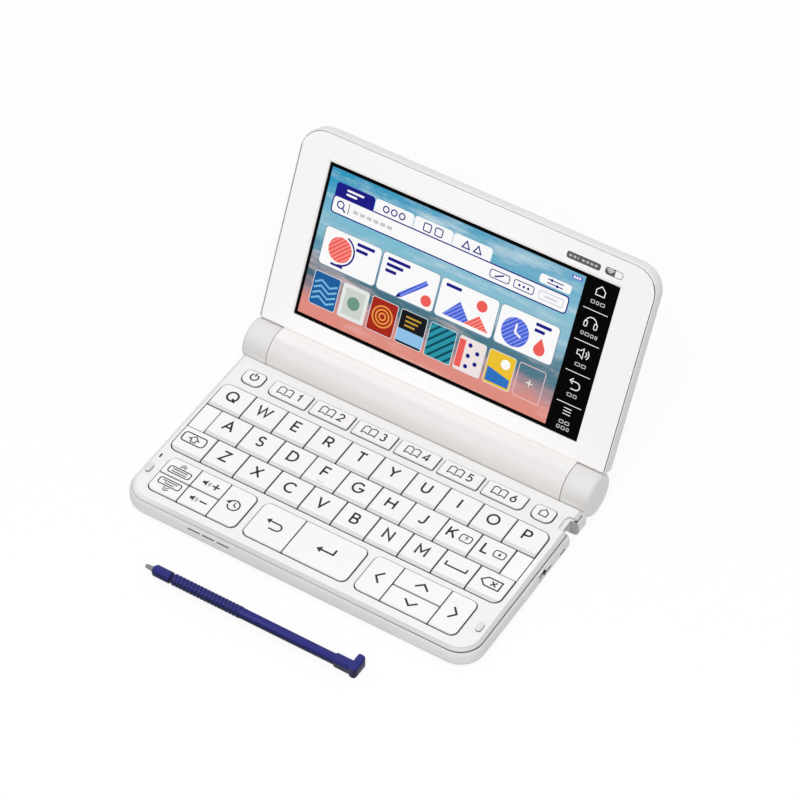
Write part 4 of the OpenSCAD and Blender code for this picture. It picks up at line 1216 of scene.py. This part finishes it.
def draw_strip(d):
    """Side strip: five line signs, short blocks under them and thin rules between them."""
    d.origin = (STRIP_X, 0)
    # A house, headphones, a loudspeaker, a way back and a list.
    house = loop((-1.75, 71.5), (1.75, 71.5), (1.75, 73.5), (0, 75.1), (-1.75, 73.5))
    d.line(house, 0.34, WHITE)
    d.line(arc(-0.4, 60.5, 2.2, 0, 180, 18), 0.36, WHITE)
    for x in (-2.4, 1.6):
        d.box(x - 0.6, 58.7, x + 0.6, 60.9, 0.45, WHITE, pen=0.32)
    cone = ((-0.1, 46.6), (-0.1, 50.4), (-1.4, 49.3), (-2.5, 49.3))
    d.line(loop((-2.5, 47.7), (-1.4, 47.7), *cone), 0.32, WHITE)
    for r in (1.2, 2.1):
        d.line(arc(0.1, 48.5, r, -50, 50, 10), 0.34, WHITE)
    turn = arc(0.6, 35.7, 1.5, 80, -90, 10)
    d.line([(-1.4, 37.2), (0.6, 37.2), *turn, (-1.2, 34.2)], 0.38, WHITE)
    d.line([(-0.9, 38.3), (-2.1, 37.2), (-0.9, 36.1)], 0.36, WHITE)
    for k in range(3):
        y = 24.0 + k * 1.15
        d.box(-1.6, y, 1.6, y + 0.3, 0.12, WHITE)
    # Short blocks stand where the names of the five signs would be.
    gap = 0.35
    for y, lengths in (
        (68.6, (1.8, 1.3, 2.0)),
        (56.0, (1.4, 1.9, 1.4, 1.1)),
        (43.9, (2.2, 2.0)),
        (31.8, (2.2, 1.6)),
        (20.9, (2.0, 2.0)),
        (18.7, (1.5, 1.8, 1.2)),
    ):
        x = -(sum(lengths) + gap * (len(lengths) - 1)) / 2
        for length in lengths:
            d.box(x + 0.2, y - 0.55, x + length - 0.2, y + 0.55, 0.2, linear("#c6c6c6"), pen=0.3)
            x += length + gap
    for y in (65.4, 52.9, 40.6, 28.2):
        d.box(-5.0, y - 0.13, 5.0, y + 0.13, 0, WHITE)


def draw_bezel(d):
    """Two plain printed plates at the upper right, one with the common sign for a radio link."""
    dark = colours().plate[:]
    d.box(37.5, 80.2, 51.2, 82.8, 0.9, dark)
    for i in range(7):
        x = 38.5 + i * 1.72
        d.box(x, 81.05, x + (0.5 if i == 2 else 1.1), 81.95, 0.15, linear("#b9b9b8"), 1)
    d.box(53.1, 80.35, 60.1, 82.95, 1.1, dark, pen=0.22)
    d.box(53.1, 80.35, 57.0, 82.95, [1.1, 0.05, 0.05, 1.1], dark, 1)
    for r in (0.75, 1.35, 1.95):
        d.line(arc(55.1, 80.75, r, 45, 135, 10), 0.3, colours().bezel[:], 2)


# Geometry Nodes


def ridges_tree(material):
    """Bars bent round the barrel and repeated along it, as a node group."""
    tree = bpy.data.node_groups.new("cover_ridges", "GeometryNodeTree")
    new_socket = tree.interface.new_socket
    new_socket("Geometry", in_out="INPUT", socket_type="NodeSocketGeometry")
    for name in ("Barrel radius", "Ridge radius", "Arc", "Pitch"):
        new_socket(name, in_out="INPUT", socket_type="NodeSocketFloat")
    new_socket("Count", in_out="INPUT", socket_type="NodeSocketInt")
    new_socket("Geometry", in_out="OUTPUT", socket_type="NodeSocketGeometry")
    given = add(tree, "NodeGroupInput").outputs
    half = add(tree, "ShaderNodeMath", {0: given["Arc"], 1: -0.5}, operation="MULTIPLY")
    path = add(
        tree,
        "GeometryNodeCurveArc",
        Radius=given["Barrel radius"],
        Start_Angle=half.outputs[0],
        Sweep_Angle=given["Arc"],
        Resolution=24,
    )
    outline = add(
        tree, "GeometryNodeCurvePrimitiveCircle", Radius=given["Ridge radius"], Resolution=10
    )
    bar = add(
        tree,
        "GeometryNodeCurveToMesh",
        Curve=path.outputs["Curve"],
        Profile_Curve=outline.outputs["Curve"],
        Fill_Caps=True,
    )
    pitch = add(tree, "ShaderNodeCombineXYZ", Z=given["Pitch"]).outputs[0]
    row = add(tree, "GeometryNodeMeshLine", Count=given["Count"], Offset=pitch).outputs[0]
    copies = add(tree, "GeometryNodeInstanceOnPoints", Points=row, Instance=bar.outputs[0])
    real = add(tree, "GeometryNodeRealizeInstances", Geometry=copies.outputs[0]).outputs[0]
    painted = add(tree, "GeometryNodeSetMaterial", Geometry=real, Material=material)
    add(tree, "NodeGroupOutput", Geometry=painted.outputs[0])
    return tree


def evaluated(name, tree, **values):
    """The plain mesh that a node group makes from the values of its named inputs."""
    blank = bpy.data.meshes.new("blank")
    holder = bpy.data.objects.new("holder", blank)
    bpy.context.scene.collection.objects.link(holder)
    nodes = holder.modifiers.new("nodes", "NODES")
    nodes.node_group = tree
    for item in tree.interface.items_tree:
        key = item.name.lower().replace(" ", "_")
        if item.in_out == "INPUT" and key in values:
            nodes[item.identifier] = values[key]
    bpy.context.view_layer.update()
    graph = bpy.context.evaluated_depsgraph_get()
    mesh = bpy.data.meshes.new_from_object(holder.evaluated_get(graph))
    mesh.name = name
    bpy.data.objects.remove(holder)
    bpy.data.meshes.remove(blank)
    return mesh


# Operators


class DICTIONARY_OT_stage(bpy.types.Operator):
    """Builds the floor, the soft lights, the pale surroundings and the camera"""

    bl_idname = "dictionary.stage"
    bl_label = "Stage"

    def execute(self, context):
        scene = context.scene
        scene.view_settings.view_transform = "Standard"
        lens = bpy.data.cameras.new("camera")
        lens.lens = SENSOR * FOCAL_RATIO
        lens.sensor_width = SENSOR
        lens.clip_start = 0.05
        lens.clip_end = 20
        scene.camera = bpy.data.objects.new("camera", lens)
        scene.collection.objects.link(scene.camera)
        back = Vector(CAMERA_BACK).normalized()
        right = Vector(CAMERA_RIGHT).normalized()
        turn = Matrix((right, back.cross(right).normalized(), back)).transposed().to_4x4()
        scene.camera.matrix_world = Matrix.Translation(CAMERA_PLACE) @ turn

        for name, place, size, power in (
            ("high_light", (0.36, -0.71, 1.18), 1.0, 10.0),
            ("back_light", (-0.5, 0.5, 1.1), 0.8, 1.2),
        ):
            lamp = bpy.data.lights.new(name, "AREA")
            lamp.energy = power
            lamp.size = size
            light = bpy.data.objects.new(name, lamp)
            scene.collection.objects.link(light)
            aim = (Vector((0, 0, 0.03)) - Vector(place)).to_track_quat("-Z", "Y")
            light.matrix_world = Matrix.Translation(place) @ aim.to_matrix().to_4x4()

        scene.world = bpy.data.worlds.new("soft_surroundings")
        scene.world.use_nodes = True
        tree = scene.world.node_tree
        tree.nodes.clear()
        shown = add(tree, "ShaderNodeBackground", Color=linear("#ffffff"), Strength=1.0)
        soft = add(tree, "ShaderNodeBackground", Color=linear("#fbfbff"), Strength=0.6)
        given = {0: self.seen(tree), 1: soft.outputs[0], 2: shown.outputs[0]}
        mix = add(tree, "ShaderNodeMixShader", given)
        add(tree, "ShaderNodeOutputWorld", Surface=mix.outputs[0])

        bm = bmesh.new()
        half = TABLE_SIZE / 2
        corners = round_box(-half, -half, half, half, 0)
        bm.faces.new([bm.verts.new((x, y, TABLE_Z)) for x, y in corners])
        mesh = from_bmesh(bm, "table_top")
        mesh.materials.append(self.table())
        floor = bpy.data.objects.new("table_top", mesh)
        scene.collection.objects.link(floor)
        return {"FINISHED"}

    def table(self):
        # A matt white table. What the camera sees of it is lifted to white, and its shadows stay.
        made = bpy.data.materials.new("matt_white_table")
        made.use_nodes = True
        tree = made.node_tree
        tree.nodes.clear()
        matt = add(tree, "ShaderNodeBsdfDiffuse", Color=linear("#b4b4b4"))
        shade = add(tree, "ShaderNodeBsdfDiffuse", Color=linear("#ffffff"))
        glow = add(tree, "ShaderNodeEmission", Color=linear("#ffffff"), Strength=1.0)
        given = {0: 0.86, 1: shade.outputs[0], 2: glow.outputs[0]}
        lifted = add(tree, "ShaderNodeMixShader", given)
        given = {0: self.seen(tree), 1: matt.outputs[0], 2: lifted.outputs[0]}
        top = add(tree, "ShaderNodeMixShader", given)
        # Glass-clear from below, so that the underside can be looked at through it.
        below = add(tree, "ShaderNodeNewGeometry").outputs["Backfacing"]
        clear = add(tree, "ShaderNodeBsdfTransparent")
        given = {0: below, 1: top.outputs[0], 2: clear.outputs[0]}
        sided = add(tree, "ShaderNodeMixShader", given)
        add(tree, "ShaderNodeOutputMaterial", Surface=sided.outputs[0])
        return made

    @staticmethod
    def seen(tree):
        """1 for a ray that the camera sees straight, mirrored or through glass."""
        path = add(tree, "ShaderNodeLightPath").outputs
        ray = path["Is Camera Ray"]
        for kind in ("Is Glossy Ray", "Is Transmission Ray"):
            either = {0: ray, 1: path[kind]}
            ray = add(tree, "ShaderNodeMath", either, operation="MAXIMUM").outputs[0]
        return ray


class DICTIONARY_OT_case(bpy.types.Operator):
    """Finishes the bottom case, the deck, the port cover, the feet and the bumpers"""

    bl_idname = "dictionary.case"
    bl_label = "Case"

    def execute(self, context):
        edge = sizes().shell_edge
        for node, name, material, share, slot in (
            ("bottom_case", "case_bottom_shell", case_plastic(), 1, "case_white"),
            ("deck_cover", "case_deck", deck_plastic(), 0.5, "case_white"),
            ("port_cover", "case_port_cover", cover_plastic(), 0.5, "case_white"),
            ("rubber_feet", "case_feet_and_bumpers", soft_rubber(), 0.8, "grey_rubber"),
        ):
            dressed_copy(node, name, material, edge * share)
        new_piece(self.lens("case_lamp_lens"), "base", lamp_lens())
        return {"FINISHED"}

    @staticmethod
    def lens(name):
        """A pill with a soft top edge, which fills the lamp's slot in the deck."""
        x, y = -70.2 * MM, HINGE.y - 66.3 * MM
        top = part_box("deck_cover")[1].z - 0.03 * MM
        bm = bmesh.new()
        loops = []
        for half_x, half_y, z in (
            (0.36, 0.95, -0.4),
            (0.36, 0.95, -0.1),
            (0.33, 0.92, -0.03),
            (0.24, 0.83, 0),
        ):
            outline = round_box(-half_x, -half_y, half_x, half_y, half_x * 0.95)
            loops.append([bm.verts.new((x + a * MM, y + b * MM, top + z * MM)) for a, b in outline])
        for low, high in zip(loops, loops[1:]):
            for i in range(len(low)):
                j = (i + 1) % len(low)
                bm.faces.new((low[i], low[j], high[j], high[i]))
        bm.faces.new(loops[-1])
        bm.faces.new(reversed(loops[0]))
        mesh = from_bmesh(bm, name)
        smooth_by_angle(mesh)
        return mesh


class DICTIONARY_OT_lid(bpy.types.Operator):
    """Finishes the lid's shell, its bezel with the hinge barrel, and the battery cover"""

    bl_idname = "dictionary.lid"
    bl_label = "Lid"

    def execute(self, context):
        size = sizes()
        white = body_plastic()
        for node, name, material, share in (
            ("lid_shell", "lid_outer_shell", shell_plastic(), 1),
            ("lid_bezel", "lid_bezel_and_barrel", bezel_paint(), 0.4),
            ("battery_cover", "lid_battery_cover", white, 0.5),
        ):
            dressed_copy(node, name, material, size.shell_edge * share)

        drawing = Drawing()
        draw_bezel(drawing)
        place = lambda x, v, up: on_lid(x, v, BEZEL_RISE + up)
        plates = drawing.mesh("lid_printed_plates", place, size.print_rise / MM)
        new_piece(plates, "lid", bezel_ink())

        mesh = evaluated(
            "lid_cover_ridges",
            ridges_tree(white),
            barrel_radius=BARREL_RADIUS * MM,
            ridge_radius=size.ridge_radius,
            arc=size.ridge_arc,
            pitch=size.ridge_pitch,
            count=size.ridge_count,
        )
        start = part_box("battery_cover")[0].x + 5 * MM
        turn = Matrix(((0, 0, 1, start), (-1, 0, 0, 0), (0, -1, 0, 0), (0, 0, 0, 1)))
        mesh.transform(LID @ turn)
        smooth_by_angle(mesh, 50)
        new_piece(mesh, frame["nodes"]["battery_cover"]["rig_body"], white)
        return {"FINISHED"}


class DICTIONARY_OT_keys(bpy.types.Operator):
    """Rounds the keys' edges and gives them their plastic"""

    bl_idname = "dictionary.keys"
    bl_label = "Keys"

    def execute(self, context):
        plastic = key_plastic()
        for node in KEY_NODES:
            edge = sizes().key_edge
            dressed_copy(node, f"cap_{node[4:]}", plastic, edge, angle=20)
        return {"FINISHED"}


class DICTIONARY_OT_legends(bpy.types.Operator):
    """Prints plain letters, numbers and signs on the keys"""

    bl_idname = "dictionary.legends"
    bl_label = "Legends"

    def execute(self, context):
        ink = key_ink()
        for node in KEY_NODES:
            print_key(node, ink)
        return {"FINISHED"}


class DICTIONARY_OT_screen(bpy.types.Operator):
    """Finishes the cover glass and draws what the lit display shows"""

    bl_idname = "dictionary.screen"
    bl_label = "Screen"

    def execute(self, context):
        dressed_copy("display_panel", "lid_cover_glass", cover_glass(), 0.12 * MM)
        layer = sizes().layer / MM
        mesh = bpy.data.meshes.new("screen_background")
        corners = [on_lid(x, v, layer) for x, v in round_box(*PICTURE, 0)]
        mesh.from_pydata(corners, [], [(0, 1, 2, 3)])
        uv = mesh.uv_layers.new(name="screen")
        for corner, place in zip(uv.data, round_box(0, 0, 1, 1, 0)):
            corner.uv = place
        new_piece(mesh, "lid", lit_background())

        shapes = lit_picture()
        place = lambda x, v, up: on_lid(x, v, layer + up)
        for name, draws in (
            ("screen_search_bar", (draw_search, draw_buttons)),
            ("screen_cards", (draw_cards,)),
            ("screen_tiles", (draw_tiles,)),
            ("screen_side_signs", (draw_strip,)),
        ):
            drawing = Drawing()
            for draw in draws:
                draw(drawing)
            new_piece(drawing.mesh(name, place, layer), "lid", shapes)
        return {"FINISHED"}


class DICTIONARY_OT_stylus(bpy.types.Operator):
    """Finishes the ribbed stylus with its grey tip"""

    bl_idname = "dictionary.stylus"
    bl_label = "Stylus"

    def execute(self, context):
        edge = sizes().stylus_edge
        dressed_copy("stylus", "stylus_body", stylus_plastic(), edge, 3, 38)
        return {"FINISHED"}


class DICTIONARY_OT_insides(bpy.types.Operator):
    """Gives the board, the screws and the cells their materials"""

    bl_idname = "dictionary.insides"
    bl_label = "Insides"

    def execute(self, context):
        for node, material in (
            ("main_board", board_laminate()),
            ("case_screws", plated_steel()),
            ("batteries", cell_sleeve()),
        ):
            mesh = frame["nodes"][node].data
            mesh.materials.clear()
            mesh.materials.append(material)
        return {"FINISHED"}


OPERATORS = (
    DICTIONARY_OT_stage,
    DICTIONARY_OT_case,
    DICTIONARY_OT_lid,
    DICTIONARY_OT_keys,
    DICTIONARY_OT_legends,
    DICTIONARY_OT_screen,
    DICTIONARY_OT_stylus,
    DICTIONARY_OT_insides,
)


class DICTIONARY_PT_panel(bpy.types.Panel):
    """Lists the steps that dress the dictionary"""

    bl_idname = "DICTIONARY_PT_panel"
    bl_label = "Dictionary"
    bl_space_type = "VIEW_3D"
    bl_region_type = "UI"
    bl_category = "Dictionary"

    def draw(self, context):
        for step in OPERATORS:
            self.layout.operator(step.bl_idname)
        for group in (context.scene.dictionary_sizes, context.scene.dictionary_colours):
            for name in group.bl_rna.properties.keys():
                if name not in ("rna_type", "name"):
                    self.layout.prop(group, name)


CLASSES = (DictionarySizes, DictionaryColours, *OPERATORS, DICTIONARY_PT_panel)


def register():
    for cls in CLASSES:
        bpy.utils.register_class(cls)
    bpy.types.Scene.dictionary_sizes = bpy.props.PointerProperty(type=DictionarySizes)
    bpy.types.Scene.dictionary_colours = bpy.props.PointerProperty(type=DictionaryColours)


def unregister():
    del bpy.types.Scene.dictionary_colours
    del bpy.types.Scene.dictionary_sizes
    for cls in reversed(CLASSES):
        bpy.utils.unregister_class(cls)


def main():
    register()
    for step in OPERATORS:
        group, name = step.bl_idname.split(".")
        getattr(getattr(bpy.ops, group), name)()


if __name__ == "__main__":
    main()
